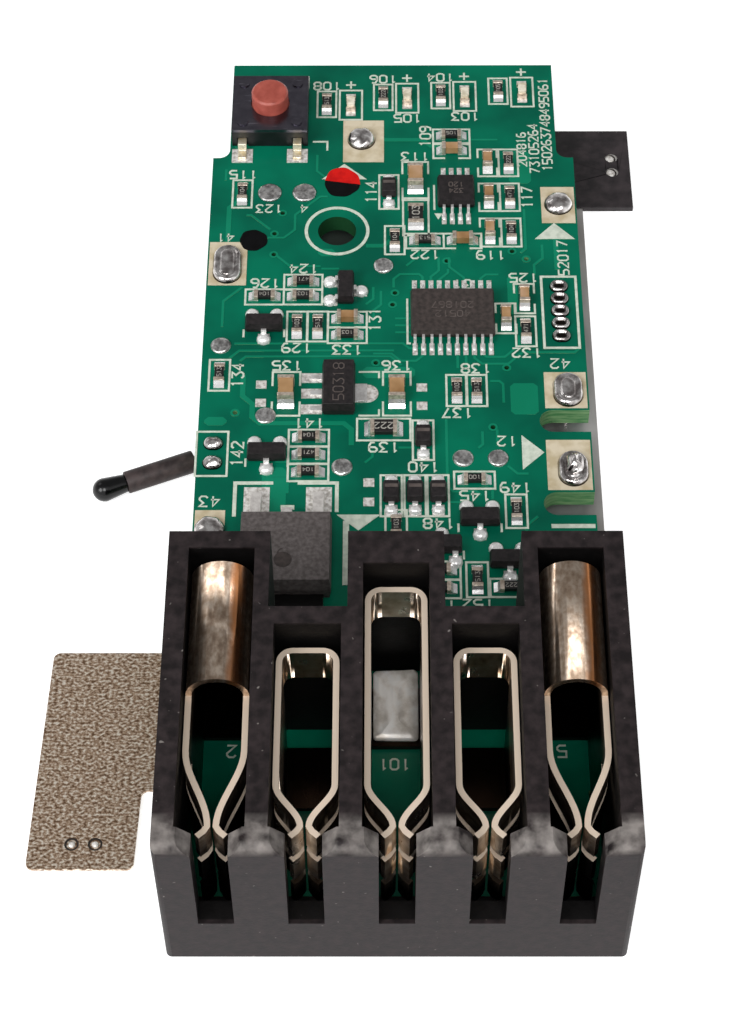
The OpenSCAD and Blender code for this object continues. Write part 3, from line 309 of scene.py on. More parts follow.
MASK = solder_mask("green_solder_mask", "#005b46", "#007558")
MASK_ON_COPPER = solder_mask("green_solder_mask_on_copper", "#0b7c5c", "#148868")
print("made", MASK.name, "and", MASK_ON_COPPER.name)

# %% [markdown]
# The other materials share one recipe: tones in patches, and a fine grain that is raised. Where
# handling has dulled the surface, its roughness follows the patches too. The terminal block is
# injection-moulded nylon with glass fibre: black, dull, and mottled where the fibres reach the
# surface. Packages are moulded epoxy, which is finer and browner.

# %% Moulded plastics
def textured(name, stops, patch_mm, grain_mm, height_mm, detail=3.0, fine=3.0, strength=0.5,
             dull=None, stretch=None, **shader_values):
    """A surface coloured in patches by stops, with a raised grain. dull gives its roughness
    from the first tone to the last, and stretch draws the pattern out along an axis."""
    material, tree, shader, coords = new_material(name, stops[0][1], **shader_values)
    if stretch:
        coords = add(tree, "Mapping", {"Vector": coords}, Scale=stretch)
    patches = add(tree, "TexNoise", {"Vector": coords}, Scale=per(patch_mm), Detail=detail)
    colour = add(tree, "ValToRGB", {"Fac": patches}, stops)
    grain = add(tree, "TexNoise", {"Vector": coords}, Scale=per(grain_mm), Detail=fine)
    dents = add(tree, "Bump", {"Height": grain}, Strength=strength, Distance=height_mm * MM)
    feed(tree, shader, {"Base Color": colour, "Normal": dents})
    if dull:
        rough = add(tree, "MapRange", {"Value": patches}, To_Min=dull[0], To_Max=dull[1])
        feed(tree, shader, {"Roughness": rough})
    return material


def moulded(name, dark, light, roughness, blotch_mm, grain_mm, height_mm, gloss=0.5):
    """Moulded plastic, mottled from dark to light."""
    return textured(name, [(0.35, dark), (0.68, light)], blotch_mm, grain_mm, height_mm, 6.0,
                    dull=(roughness - 0.08, roughness + 0.12), Specular_IOR_Level=gloss)


SWITCH_NYLON = moulded("switch_nylon", "#060608", "#101015", 0.45, 1.0, 0.2, 0.01)
PLUNGER_RED = moulded("brick_red_button_plastic", "#a2493c", "#bd5f51", 0.4, 0.9, 0.25, 0.01)
IC_EPOXY = moulded("moulding_epoxy", "#312b29", "#483f3c", 0.5, 0.35, 0.1, 0.012, 0.35)
POWER_EPOXY = moulded("filled_moulding_epoxy", "#4b4543", "#686160", 0.6, 0.3, 0.1, 0.012, 0.35)
BLACK_EPOXY = moulded("black_moulding_epoxy", "#191617", "#2a2526", 0.5, 0.3, 0.1, 0.012, 0.3)
SLEEVE_FILM = moulded("insulating_film", "#221e20", "#3a3335", 0.42, 1.2, 0.5, 0.04, 0.35)
SHRINK_SLEEVE = moulded("shrunk_polyolefin", "#2a2323", "#473c3b", 0.5, 0.7, 0.25, 0.03, 0.3)
BEAD_EPOXY = moulded("dipped_black_epoxy", "#050506", "#0b0b0c", 0.16, 1.0, 0.8, 0.02, 0.35)
print("moulded plastics:", SWITCH_NYLON.name, IC_EPOXY.name, PLUNGER_RED.name)

# %% [markdown]
# The block has been handled and plugged in many times. Its front ledge, where blades rub past,
# has gone grey in smeared patches, and fine pale specks are scattered over the rest. The patches
# are noise that is let through only near the ledge.

# %% Worn nylon of the terminal block, with painted shade in its slots
BLOCK_NYLON = moulded("glass_filled_nylon", "#171213", "#302829", 0.55, 0.7, 0.22, 0.03, 0.22)
tree, shader, tone, coords, place = reopen(BLOCK_NYLON)
LEDGE_BACK, LEDGE_DEPTH, OUTER_WALL = 2.6 * MM, 1.5 * MM, 1 * MM
block_low, block_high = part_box("terminal_block")
block_middle = (block_low.x + block_high.x) / 2
near_ledge = add(tree, "MapRange", {"Value": place["Y"]}, From_Min=0.7 * LEDGE_BACK,
                 From_Max=LEDGE_BACK, To_Min=0.75, To_Max=0.0)
facing = add(tree, "SeparateXYZ", {"Vector": add(tree, "NewGeometry").outputs["Normal"]}).outputs
upward = add(tree, "MapRange", {"Value": facing["Z"]}, From_Min=0.1, From_Max=0.7)
on_top = add(tree, "Math", {0: place["Z"], 1: block_high.z - LEDGE_DEPTH},
             operation="GREATER_THAN")
smears = add(tree, "TexNoise", {"Vector": coords}, Scale=per(1.1), Detail=3.0)
smears = add(tree, "MapRange", {"Value": smears}, From_Min=0.3, From_Max=0.7)
rub = upward
for share in (on_top, near_ledge, smears):
    rub = add(tree, "Math", {0: rub, 1: share}, operation="MULTIPLY")
specks = add(tree, "TexNoise", {"Vector": coords}, Scale=per(0.45), Detail=1.0)
specks = add(tree, "MapRange", {"Value": specks}, From_Min=0.74, From_Max=0.8, To_Max=0.5)
rub = add(tree, "Math", {0: rub, 1: specks}, operation="MAXIMUM")
wear_and_painted_shade = add(tree, "Mix", {"Factor": rub, "A": tone, "B": "#a59e99"}, data_type="RGBA")
# Inside the slots the nylon is painted near black: painted shade, where little light reaches.
sideways = add(tree, "Math", {0: place["X"], 1: block_middle}, operation="SUBTRACT")
sideways = add(tree, "Math", {0: sideways}, operation="ABSOLUTE")
slot_shade_mask = add(tree, "Math", {0: sideways, 1: block_high.x - block_middle - OUTER_WALL},
            operation="LESS_THAN")
not_rear = add(tree, "Math", {0: facing["Y"], 1: 0.5}, operation="LESS_THAN")
slot_shade_mask = add(tree, "Math", {0: slot_shade_mask, 1: not_rear}, operation="MULTIPLY")
# Behind the ledge the painted shade starts just below the top, and in front of it lower down.
for start_y, start_depth, fade in ((3.2, 0.02, 0.2), (0.3, 1.6, 0.9)):
    share = add(tree, "Math", {0: place["Y"], 1: start_y * MM}, operation="GREATER_THAN")
    depth = add(tree, "MapRange", {"Value": place["Z"]}, To_Max=0.95,
                From_Min=block_high.z - start_depth * MM,
                From_Max=block_high.z - (start_depth + fade) * MM)
    for factor in (depth, slot_shade_mask):
        share = add(tree, "Math", {0: share, 1: factor}, operation="MULTIPLY")
    wear_and_painted_shade = add(tree, "Mix", {"Factor": share, "A": wear_and_painted_shade, "B": "#040303"}, data_type="RGBA")
feed(tree, shader, {"Base Color": wear_and_painted_shade})
print("worn back to", round(LEDGE_BACK / MM, 1), "mm from the mating face")

# %% [markdown]
# The switch's cover is thin steel with a baked black finish: glossier than nylon, so it shows a
# blurred image of the red button. Fingernails have drawn pale scratches across it.

# %% Blackened cover
SWITCH_COVER = moulded("blackened_switch_cover", "#5c5963", "#6a6771", 0.2, 0.7, 0.15, 0.006)
tree, shader, tone, coords, place = reopen(SWITCH_COVER)
lines = add(tree, "Mapping", {"Vector": coords}, Scale=(0.12, 1, 1), Rotation=(0, 0, 0.5))
scratches = add(tree, "TexNoise", {"Vector": lines}, Scale=per(0.2), Detail=3.0)
scratches = add(tree, "MapRange", {"Value": scratches}, From_Min=0.64, From_Max=0.72,
                To_Max=0.6)
scored = add(tree, "Mix", {"Factor": scratches, "A": tone, "B": "#b9b5c2"}, data_type="RGBA")
feed(tree, shader, {"Base Color": scored, "Metallic": 1.0})
print("cover:", SWITCH_COVER.name)

# %% [markdown]
# Rolled and plated metal carries fine lines along the rolling direction and duller stains from
# handling. Noise squeezed along one axis draws both. Cast solder is smooth, so it takes a much
# weaker grain.

# %% Metals
def plated(name, stops, roughness, stain_mm, grain_mm, stretch=(1, 1, 1), height_mm=0.01,
           metallic=1.0):
    """Metal in stained tones, with grain drawn out along an axis by stretch."""
    return textured(name, stops, stain_mm, grain_mm, height_mm, 4.0, strength=0.6,
                    dull=(roughness + 0.14, roughness - 0.06), stretch=stretch, Metallic=metallic)


EVEN = (1, 1, 1)
CONTACT_NICKEL = plated("plated_contact_sheet",
                        [(0.3, "#a3876c"), (0.44, "#d2bda6"), (0.66, "#efe2d3")],
                        0.26, 1.3, 0.14, (1, 0.4, 1), 0.012, 0.8)
# Frosted metal scatters much of its light. A metallic value below 1 stands for that scatter.
# The strip's fine mottle from dark brown to near white is partly painted: real brown stains, and
# painted glints and shade of its rough relief.
TAB_NICKEL = plated("worn_nickel_strip_painted_glints", [(0.36, "#6d523b"), (0.5, "#bfa288"), (0.64, "#fff4e4")],
                    0.28, 0.18, 0.15, (0.7, 1, 1), 0.06, 0.72)
BUS_NICKEL = plated("bright_nickel_strip", [(0.34, "#a8a4a1"), (0.66, "#dedbd8")],
                    0.3, 3.0, 0.4, (1, 0.3, 1), 0.006, 0.6)
SOLDER = plated("bright_tin_solder", [(0.3, "#dddcdb"), (0.6, "#f9f8f7")],
                0.24, 0.8, 0.9, EVEN, 0.02, 0.75)
JOINT_TIN = plated("hand_soldered_tin", [(0.36, "#8d8684"), (0.52, "#cdc8c6"), (0.66, "#f4f1ef")],
                   0.1, 0.7, 0.5, EVEN, 0.05)
DULL_TIN = plated("reflowed_tin_pad", [(0.36, "#8f8d8c"), (0.5, "#bfbdbc"), (0.62, "#e6e4e2")],
                  0.3, 0.35, 0.3, EVEN, 0.05)
SATIN_TIN = plated("satin_tin_pad", [(0.36, "#b9b3ac"), (0.5, "#e4dfd9"), (0.62, "#fbf8f4")],
                   0.36, 0.3, 0.2, EVEN, 0.04, 0.35)
POOL_TIN = plated("flooded_tin", [(0.36, "#d9d2c8"), (0.5, "#f4efe8"), (0.62, "#fefcf8")],
                  0.3, 0.9, 0.4, EVEN, 0.03, 0.2)
DROP_TIN = plated("fresh_tin_drops", [(0.3, "#efeeec"), (0.6, "#fdfcfa")],
                  0.24, 0.8, 0.9, EVEN, 0.02, 0.4)
TINNED_LEAD = plated("tinned_copper_lead", [(0.3, "#d3d0cd"), (0.6, "#f4f2f0")],
                     0.28, 0.4, 0.2, EVEN, 0.012, 0.65)
CHIP_END = plated("tinned_chip_end", [(0.3, "#b3a190"), (0.6, "#eadbcb")],
                  0.34, 0.3, 0.15, EVEN, 0.01, 0.8)
SWITCH_LEG = plated("tinned_brass_leg", [(0.3, "#dcc48f"), (0.6, "#f8efd8")],
                    0.28, 0.6, 0.3, EVEN, 0.01, 0.7)
print("metals:", CONTACT_NICKEL.name, TAB_NICKEL.name, SOLDER.name)

# %% [markdown]
# A contact is punched from sheet. Its punched edges are rough and scatter light, so from above
# they read as pale lines, where the rolled faces mirror a dark ceiling. On the forks those
# edges are exactly the level faces, so the paler tone is let in by the normal. Deep in the
# slots the sheet's colour is taken to near black: painted shade.

# %% Punched edges and painted shade in the depths
DEEP = 6.2 * MM                # below this height the contacts' edges are dark as well


def shade_along(material, axis, start_mm, end_mm, hex_code):
    """Takes a material's colour towards hex_code from one place on an axis to another."""
    tree, shader, tone, coords, place = reopen(material)
    share = add(tree, "MapRange", {"Value": place[axis]}, From_Min=start_mm * MM,
                From_Max=end_mm * MM)
    colour = add(tree, "Mix", {"Factor": share, "A": tone, "B": hex_code}, data_type="RGBA")
    feed(tree, shader, {"Base Color": colour})


def punched_edges(material, hex_code, top=1.0):
    """Makes level faces between DEEP and top paler and duller, like a punched edge."""
    tree, shader, tone, coords, place = reopen(material)
    normal = add(tree, "SeparateXYZ", {"Vector": add(tree, "NewGeometry").outputs["True Normal"]})
    level = add(tree, "MapRange", {"Value": normal.outputs["Z"]}, From_Min=0.9, From_Max=0.99)
    for bound, side in ((DEEP, "GREATER_THAN"), (top, "LESS_THAN")):
        part = add(tree, "Math", {0: place["Z"], 1: bound}, operation=side)
        level = add(tree, "Math", {0: level, 1: part}, operation="MULTIPLY")
    colour = add(tree, "Mix", {"Factor": level, "A": tone, "B": hex_code}, data_type="RGBA")
    dull = shader.inputs["Roughness"].links[0].from_socket
    rough = add(tree, "Mix", {"Factor": level, "A": dull, "B": 0.5})
    metal = add(tree, "MapRange", {"Value": level}, To_Min=1.0, To_Max=0.35)
    feed(tree, shader, {"Base Color": colour, "Roughness": rough, "Metallic": metal})


# Painted shade: from 7 mm down to 4 mm the contacts' colour goes to near black.
shade_along(CONTACT_NICKEL, "Z", 7, 4, "#140f0c")
punched_edges(CONTACT_NICKEL, "#f6e2cc")
print("punched edges on", CONTACT_NICKEL.name)

# %% [markdown]
# The foot of each hand-soldered joint is painted dark, a painted reflection. The front of the power
# transistor's tab, in the gap below the block's rail, is painted dark too: painted shade.

# %% Painted reflection on joints and painted shade on the power tab
# Painted reflection: the joint tin goes dark from 0.3 mm down to 0.1 mm.
shade_along(JOINT_TIN, "Z", 0.3, 0.1, "#2b2624")
POWER_LEAD = plated("tinned_power_lead", [(0.3, "#cfc9c4"), (0.6, "#f4efea")],
                    0.36, 0.5, 0.3, EVEN, 0.05, 0.6)
body_front = box_mm("power_transistor")[0].y
# Painted shade: the lead goes near black from 0.6 mm behind the body's front towards the front.
shade_along(POWER_LEAD, "Y", body_front + 0.6, body_front + 0.3, "#100e0d")
print("stained in front of", round(body_front, 1), "mm")

# %% [markdown]
# The two power contacts carry the whole current. A brown stripe is painted along their arch,
# to the right of its top: a painted reflection. Each arch has its own material, because the
# stripe is placed from the middle of its own contact.

# %% Arches with a painted reflection
ARCH_NICKEL = {}
for name in ("power_contact_1", "power_contact_5"):
    low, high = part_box(name)
    material = plated("painted_reflection_" + name,
                      [(0.34, "#8f7a68"), (0.5, "#b09b88"), (0.66, "#cdbcab")],
                      0.32, 0.4, 0.25, (1, 0.6, 1), 0.022)
    tree, shader, tone, coords, place = reopen(material)
    stripe_x = middle((low, high)).x + 1.15 * MM
    # The stripe wanders by 0.3 mm to both sides.
    wander = add(tree, "TexNoise", {"Vector": coords}, Scale=per(2.5), Detail=3.0)
    wander = add(tree, "Math", {0: wander, 1: 0.6 * MM, 2: -stripe_x - 0.3 * MM},
                 operation="MULTIPLY_ADD")
    across = add(tree, "Math", {0: place["X"], 1: wander}, operation="ADD")
    across = add(tree, "Math", {0: across}, operation="ABSOLUTE")
    reflection_stripe = add(tree, "MapRange", {"Value": across}, From_Min=0.15 * MM, From_Max=0.6 * MM,
               To_Min=0.9, To_Max=0.0)
    height = add(tree, "MapRange", {"Value": place["Z"]}, From_Min=high.z - 1.2 * MM,
                 From_Max=high.z - 0.8 * MM)
    reflection_stripe = add(tree, "Math", {0: reflection_stripe, 1: height}, operation="MULTIPLY")
    with_painted_reflection = add(tree, "Mix", {"Factor": reflection_stripe, "A": tone, "B": "#c17f4e"}, data_type="RGBA")
    feed(tree, shader, {"Base Color": with_painted_reflection})
    # Painted shade: below the arch's foot its colour goes to near black over 2.5 mm.
    arch_foot_mm = high.z / MM - 2.2
    shade_along(material, "Z", arch_foot_mm, arch_foot_mm - 2.5, "#0e0a08")
    punched_edges(material, "#f0dcc6", high.z - 0.6 * MM)
    ARCH_NICKEL[name] = material
print("tinted:", ", ".join(ARCH_NICKEL))

# %% [markdown]
# Chip parts are ceramic. A resistor's top is printed with black glass, a capacitor is plain
# fired ceramic, tan to brown. The lamps are a clear moulding over a pale base. Inks are thin
# and matt.

# %% Ceramics, lamps and inks
def ceramic(name, stops, roughness, patch_mm, gloss=0.5, coat=0.0):
    """Fired or printed surface, in patches, with a fine tooth."""
    return textured(name, stops, patch_mm, 0.12, 0.008, fine=2.0, Roughness=roughness,
                    Specular_IOR_Level=gloss, Coat_Weight=coat)


RESISTOR_GLASS = ceramic("resistor_glaze", [(0.3, "#110f10"), (0.7, "#231f1f")], 0.3, 0.5)
CAPACITOR = ceramic("fired_capacitor_ceramic",
                    [(0.34, "#8f6a43"), (0.5, "#b08a61"), (0.66, "#c4a184")], 0.42, 3.0, 0.3)
LAMP_LENS = ceramic("clear_lamp_moulding", [(0.35, "#c9bfa4"), (0.6, "#f4ecd8")], 0.12, 0.6,
                    coat=0.5)
LEGEND_INK = ceramic("white_legend_ink", [(0.35, "#c3cdbd"), (0.6, "#dbe2d3")], 0.6, 0.5, 0.2)
CREAM_INK = ceramic("cream_legend_ink", [(0.35, "#c5b594"), (0.6, "#ddd0b6")], 0.6, 1.2, 0.2)
FAINT_INK = ceramic("grey_marking_ink", [(0.35, "#524946"), (0.6, "#625955")], 0.6, 0.4, 0.3)
FIGURE_INK = ceramic("pale_figure_ink", [(0.35, "#98958e"), (0.6, "#b7b4ab")], 0.6, 0.3, 0.2)
RED_INK = ceramic("red_marker_ink", [(0.35, "#c40f0f"), (0.6, "#de1a14")], 0.3, 0.8, 0.2)
HOLE_SHADE_PAINT = ceramic("painted_hole_shade", [(0.35, "#020203"), (0.6, "#070709")], 0.4, 0.8, 0.15)
HEAT_SCALE = ceramic("weld_heat_scale", [(0.3, "#0f0b09"), (0.7, "#2c221b")], 0.5, 0.3)
print("ceramics and inks ready")

# %% [markdown]
# Every solid of the frame now gets the material of its real counterpart. Sheared and moulded
# edges are never razor sharp, so a narrow bevel catches the light along them.

# %% Dress the solids
def dress(name, material, bevel_mm):
    """Gives a solid its material, and rounds its edges where bevel_mm isn't 0."""
    node = NODES[name]
    for material_slot in node.material_slots:
        material_slot.material = material
    if bevel_mm:
        weld = node.modifiers.new("weld", "WELD")
        weld.merge_threshold = 0.001 * MM
        bevel = node.modifiers.new("bevel", "BEVEL")
        bevel.width = bevel_mm * MM
        bevel.segments = 2
        bevel.limit_method = "ANGLE"
        bevel.angle_limit = math.radians(40)


def numbered(kind, count):
    return [f"{kind}_{i}" for i in range(1, count + 1)]


SMALL_EPOXY = numbered("transistor", 6) + numbered("diode", 5)
FINISHES = [
    (["board"], MASK, 0),
    (["terminal_block"], BLOCK_NYLON, 0.2),
    (["power_contact_1"], ARCH_NICKEL["power_contact_1"], 0.13),
    (["power_contact_5"], ARCH_NICKEL["power_contact_5"], 0.13),
    (["signal_contact_2", "signal_contact_3", "signal_contact_4"], CONTACT_NICKEL, 0.13),
    (["tail_solder", "joint_solder", "chip_solder"], SOLDER, 0),
    (["switch_base"], SWITCH_NYLON, 0.08),
    (["switch_cover"], SWITCH_COVER, 0.05),
    (["switch_plunger"], PLUNGER_RED, 0.12),
    (["switch_legs"], SWITCH_LEG, 0.06),
    (["controller"], IC_EPOXY, 0.05),
    (["amplifier", "regulator"] + SMALL_EPOXY, BLACK_EPOXY, 0.05),
    (["power_transistor"], POWER_EPOXY, 0.08),
    (["controller_leads", "amplifier_leads", "regulator_leads"], TINNED_LEAD, 0.03),
    (["power_transistor_leads"], POWER_LEAD, 0.03),
    (["transistor_leads", "diode_leads"], TINNED_LEAD, 0.03),
    (["resistors_small", "resistors_large"], RESISTOR_GLASS, 0.03),
    (["capacitors_small", "capacitors_large"], CAPACITOR, 0.05),
    (["chip_ends", "lamp_ends"], CHIP_END, 0.04),
    (numbered("lamp", 4), LAMP_LENS, 0.08),
    (["pads"], SATIN_TIN, 0),
    (["nickel_tab"], TAB_NICKEL, 0.09),
    (["bus_strip"], BUS_NICKEL, 0.04),
    (["flag_sleeve"], SLEEVE_FILM, 0.06),
    (["thermistor_bead"], BEAD_EPOXY, 0.1),
    (["thermistor_sleeve"], SHRINK_SLEEVE, 0.08),
    (["thermistor_leads"], TINNED_LEAD, 0),
]
for names, material, bevel_mm in FINISHES:
    for name in names:
        dress(name, material, bevel_mm)
print("dressed", sum(len(names) for names, _, _ in FINISHES), "of", len(NODES), "nodes")

# %% [markdown]
# The print and the tracks follow the parts that they serve, so the script first asks the frame
# where each part of a group is. A group's mesh holds many loose solids: two faces belong to the
# same solid when they share a corner.

# %% Find the solids in a group
def grouped(name, keep=lambda face, place: True):
    """Lists of a node's corners in mm. The kept corners of a face are in one list."""
    mesh = NODES[name].data
    places = [tuple(round(c / MM, 2) for c in v.co) for v in mesh.vertices]
    owner = {}

    def root(key):
        while owner[key] != key:
            owner[key] = owner[owner[key]]
            key = owner[key]
        return key

    for face in mesh.polygons:
        keys = [places[v] for v in face.vertices if keep(face, places[v])]
        for key in keys:
            owner.setdefault(key, key)
            owner[root(key)] = root(keys[0])
    groups = {}
    for key in owner:
        groups.setdefault(root(key), []).append(key)
    return groups.values()


def solids(name):
    """Boxes of a node's loose solids in mm, as (lowest, highest), from the front row back."""
    boxes = [tuple(Vector(f(axis) for axis in zip(*group)) for f in (min, max))
             for group in grouped(name)]
    return sorted(boxes, key=lambda b: (round(b[0].y, 1), round(b[0].x, 1)))


RESISTORS, BIG_RESISTORS, CAPACITORS, BIG_CAPACITORS = (
    solids(kind + size) for kind in ("resistors", "capacitors") for size in ("_small", "_large"))
LAMPS, DIODES, TRANSISTORS = ([box_mm(name) for name in numbered(kind, count)]
                              for kind, count in (("lamp", 4), ("diode", 5), ("transistor", 6)))
print("found", len(RESISTORS), "small resistors and", len(CAPACITORS), "small capacitors")

# %% [markdown]
# Flat things such as tracks and printed lines are ribbons: a route, widened to both sides with
# mitred corners and given a little height. One mesh holds all ribbons of one kind.

# %% Ribbon mesh
SUNK = -0.02             # flat pieces start just below the surface that they lie on
INK_W, INK_TOP = 0.16, 0.03


def mesh_object(name, bm, material, smooth=False):
    """Makes a piece of the fixed body from a mesh."""
    mesh = bpy.data.meshes.new(name)
    bm.to_mesh(mesh)
    bm.free()
    mesh.materials.append(material)
    if smooth:
        mesh.shade_smooth()
    ob = put(name, mesh)
    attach(ob, "circuit")
    return ob


def slab(bm, outline, low, high):
    """A flat plate in mm: outline is a list of (x, y), anticlockwise, from z low to high."""
    bottom = [bm.verts.new((x * MM, y * MM, low * MM)) for x, y in outline]
    top = [bm.verts.new((x * MM, y * MM, high * MM)) for x, y in outline]
    bm.faces.new(top)
    bm.faces.new(bottom[::-1])
    for i in range(len(outline)):
        j = (i + 1) % len(outline)
        bm.faces.new((bottom[i], bottom[j], top[j], top[i]))


def ribbon(bm, route, width, low, high, closed=False):
    """A ribbon along a route of (x, y) points in mm."""
    # Each ribbon is a hair higher or lower than the last, so that crossing tops never coincide.
    high += 0.0006 * (len(bm.verts) // 4 % 11)
    points = [Vector(p) for p in route]
    count = len(points)
    rows = []
    for i, p in enumerate(points):
        before = points[i - 1] if (i or closed) else p * 2 - points[1]
        after = points[(i + 1) % count] if (i < count - 1 or closed) else p * 2 - points[i - 1]
        a, b = (p - before).normalized(), (after - p).normalized()
        across = Vector((-(a + b).y, (a + b).x)).normalized()
        reach = width / 2 / max(0.6, across.dot(Vector((-a.y, a.x))))
        left, right = p + across * reach, p - across * reach
        rows.append([bm.verts.new((q.x * MM, q.y * MM, z * MM))
                     for q, z in ((left, high), (right, high), (right, low), (left, low))])
    for i in range(count if closed else count - 1):
        here, there = rows[i], rows[(i + 1) % count]
        for k in range(4):
            m = (k + 1) % 4
            bm.faces.new((here[k], here[m], there[m], there[k]))
    if not closed:
        bm.faces.new(rows[0][::-1])
        bm.faces.new(rows[-1])


def strokes(bm, *routes, width=INK_W, closed=False):
    """Printed lines along routes."""
    for route in routes:
        ribbon(bm, route, width, SUNK, INK_TOP, closed)


def ring_route(x, y, radius, steps=48):
    return [(x + radius * math.cos(math.tau * i / steps),
             y + radius * math.sin(math.tau * i / steps)) for i in range(steps)]


print("ribbons ready")

# %% [markdown]
# Tracks are copper below the mask, so they show only as slightly raised, lighter green lines.
# A router lays them in eight directions. The same shorthand draws them here: a start, then
# moves such as "n1.2 ne0.8", which is 1.2 mm towards the button and then 0.8 mm diagonally.

# %% Copper tracks and areas below the mask
BEARING = {"e": 0, "ne": 45, "n": 90, "nw": 135, "w": 180, "sw": 225, "s": 270, "se": 315}
TRACK_W, TRACK_TOP, MASK_TOP = 0.2, 0.022, 0.012


def moves(start, steps):
    """The points of a route from start, in mm."""
    points = [start]
    for step in steps.split():
        name = step.rstrip("0123456789.")
        angle, length = math.radians(BEARING[name]), float(step[len(name):])
        x, y = points[-1]
        points.append((x + length * math.cos(angle), y + length * math.sin(angle)))
    return points


FINE_LEADS = box_mm("controller_leads")
FINE_PITCH = 0.65


def pin(number, side):
    """The end of a controller lead: number 0 to 9 from the left, side 1 at the rear."""
    return middle(FINE_LEADS).x + (number - 4.5) * FINE_PITCH, FINE_LEADS[side > 0].y


TRACKS = [
    (pin(1, 1), "n1 nw0.4 w1.5 sw0.7 s0.9"), (pin(2, 1), "n1 ne0.9 n1.4"),
    (pin(3, 1), "n0.7 ne1 n0.4"), (pin(6, 1), "n0.9 nw1.6 n1"), (pin(8, 1), "n0.8 ne0.6 e1"),
    (pin(5, -1), "s1.9"), (pin(6, -1), "s1.9"), (pin(7, -1), "s0.9 se0.8 e2 ne1.6 e4 ne0.7"),
    (pin(8, -1), "s0.5 se0.4 e1.4 ne1.6 n1"), (pin(1, -1), "s0.6 sw0.8 w1.2 nw1 w1.4"),
    ((0.1, 52.8), "e1.2"), ((0.1, 52.1), "e1.2"), ((0.1, 51.4), "e1.2"),
    ((-12.3, 50.3), "e13 se0.7 e1"), ((-12.6, 48.9), "ne1 e11.9"),
    ((-11.8, 48.6), "ne0.6 e11.1 se1.2"), ((-11.8, 63.6), "e0.4 se2.2"),
    ((-5.3, 65.6), "w0.6 sw2.8 s1.6 sw1.2 w1.5"), ((-9.3, 59.3), "se1.6 e2.4"),
    ((-5.7, 57.9), "e1.4"), ((-11.9, 56), "sw2 s2.6"), ((-1, 55.6), "s1.4 sw0.8 s0.8"),
    ((-1.6, 56), "s1.2 sw0.8"), ((1, 58.2), "ne1.4 n0.6"), ((10.5, 64.2), "s4.2 sw0.6"),
    ((7.3, 46.6), "e0.7 se0.4 s1.8"), ((-8.9, 39), "e1.2"), ((-9.7, 37.7), "e1.8 s1.6"),
    ((3.9, 43), "s6.3 se0.6 e1.7 se0.5"), ((7.2, 36.6), "s1"), ((6.6, 41.8), "s1.2 sw0.5"),
    ((7.7, 42), "s1.4"), ((8.4, 38.6), "se1 e0.8"), ((0.3, 40.3), "e1.2"),
    ((3.8, 35.3), "e1.2"), ((-2.2, 38.9), "ne0.8 n0.6"), ((-6.2, 70.2), "s1.8 se0.9 e0.6"),
    ((8.6, 71.9), "w2.2 sw0.7 w1"), ((-8.6, 53), "e1.6"), ((11.8, 60.4), "s1.4 sw1 s1"),
    ((-13.6, 68.6), "s1.2"), ((1.4, 29.6), "ne1.4 e0.8"), ((9.6, 31.6), "n1.6 ne1.2"),
]
WIDE_TRACKS = [
    ((-11.5, 47.2), "s2 se1.1 s1.2 se0.9 e6.3 se0.8 s1.5"), ((-2.2, 60.3), "e1.4 ne0.8"),
    ((12.9, 62.4), "s4.6"), ((-13.2, 60), "n4.4 ne1 n1.4"), ((-1.9, 71.9), "e4.3 se1 e1.2"),
]
# Areas of copper: opposite corners, in mm. Each corner is cut off by CUT.
CUT = 0.3
AREAS = [
    (-9.8, 34.2, -8, 38.5), (-14.3, 42.4, -12.6, 43.2), (-6, 59.2, -4.6, 60),
    (8.9, 53.2, 9.7, 57.2), (-13, 70.8, -11.8, 72), (8.8, 43.4, 10.9, 46.4),
    (-2.4, 46.9, 1.6, 48), (-14, 26, -12.2, 30.6), (9.4, 67, 11.2, 70.6),
]

bm = bmesh.new()
for tracks, width in ((TRACKS, TRACK_W), (WIDE_TRACKS, 2 * TRACK_W)):
    for start, steps in tracks:
        ribbon(bm, moves(start, steps), width, SUNK, TRACK_TOP)
for x0, y0, x1, y1 in AREAS:
    slab(bm, [(x0 + CUT, y0), (x1 - CUT, y0), (x1, y0 + CUT), (x1, y1 - CUT), (x1 - CUT, y1),
              (x0 + CUT, y1), (x0, y1 - CUT), (x0, y0 + CUT)], SUNK, MASK_TOP)
print("tracks:", len(TRACKS) + len(WIDE_TRACKS), "areas:", len(AREAS))

# %% [markdown]
# Every drilled hole has a ring of copper round it. The holes are in the board's own mesh: on
# its top face, an edge between a level face and an upright one lies on a rim. Edges that share
# corners form one rim, and a small round rim is a hole.

# %% Holes in the board
def on_rim(face, place):
    return abs(face.normal.z) <= 0.5 and abs(place[2]) < 0.01


HOLES = []               # x, y and diameter in mm
for rim in grouped("board", on_rim):
    (x0, x1), (y0, y1), _ = ((min(axis), max(axis)) for axis in zip(*rim))
    if len(rim) > 8 and abs(x1 - x0 - (y1 - y0)) < 0.05:
        HOLES.append(((x1 + x0) / 2, (y1 + y0) / 2, x1 - x0))
HOLES.sort()
for x, y, size in HOLES:
    if size < 0.5:
        ribbon(bm, ring_route(x, y, size / 2 + 0.1, 20), 0.16, SUNK, TRACK_TOP, closed=True)
mesh_object("copper_tracks", bm, MASK_ON_COPPER)
LOCATING = max(HOLES, key=lambda h: h[2])
print(len(HOLES), "round holes; the widest is", round(LOCATING[2], 2), "mm")

# %% [markdown]
# The legend is white epoxy ink, screened on in lines about 0.16 mm wide. Each kind of part has
# its own outline: a closed box for resistors, two brackets for capacitors, a box with a plus
# sign for lamps. The outlines are drawn round the real parts, wherever those are.

# %% Outlines of the parts
PLUS = 0.42


def box_lines(bm, area, width=INK_W):
    strokes(bm, corners(*area), width=width, closed=True)


def runs_along(box):
    return box[1].y - box[0].y > box[1].x - box[0].x


def part_frame(box, long_half, short_half):
    c = middle(box)
    return around(c.x, c.y, *((short_half, long_half) if runs_along(box)
                              else (long_half, short_half)))


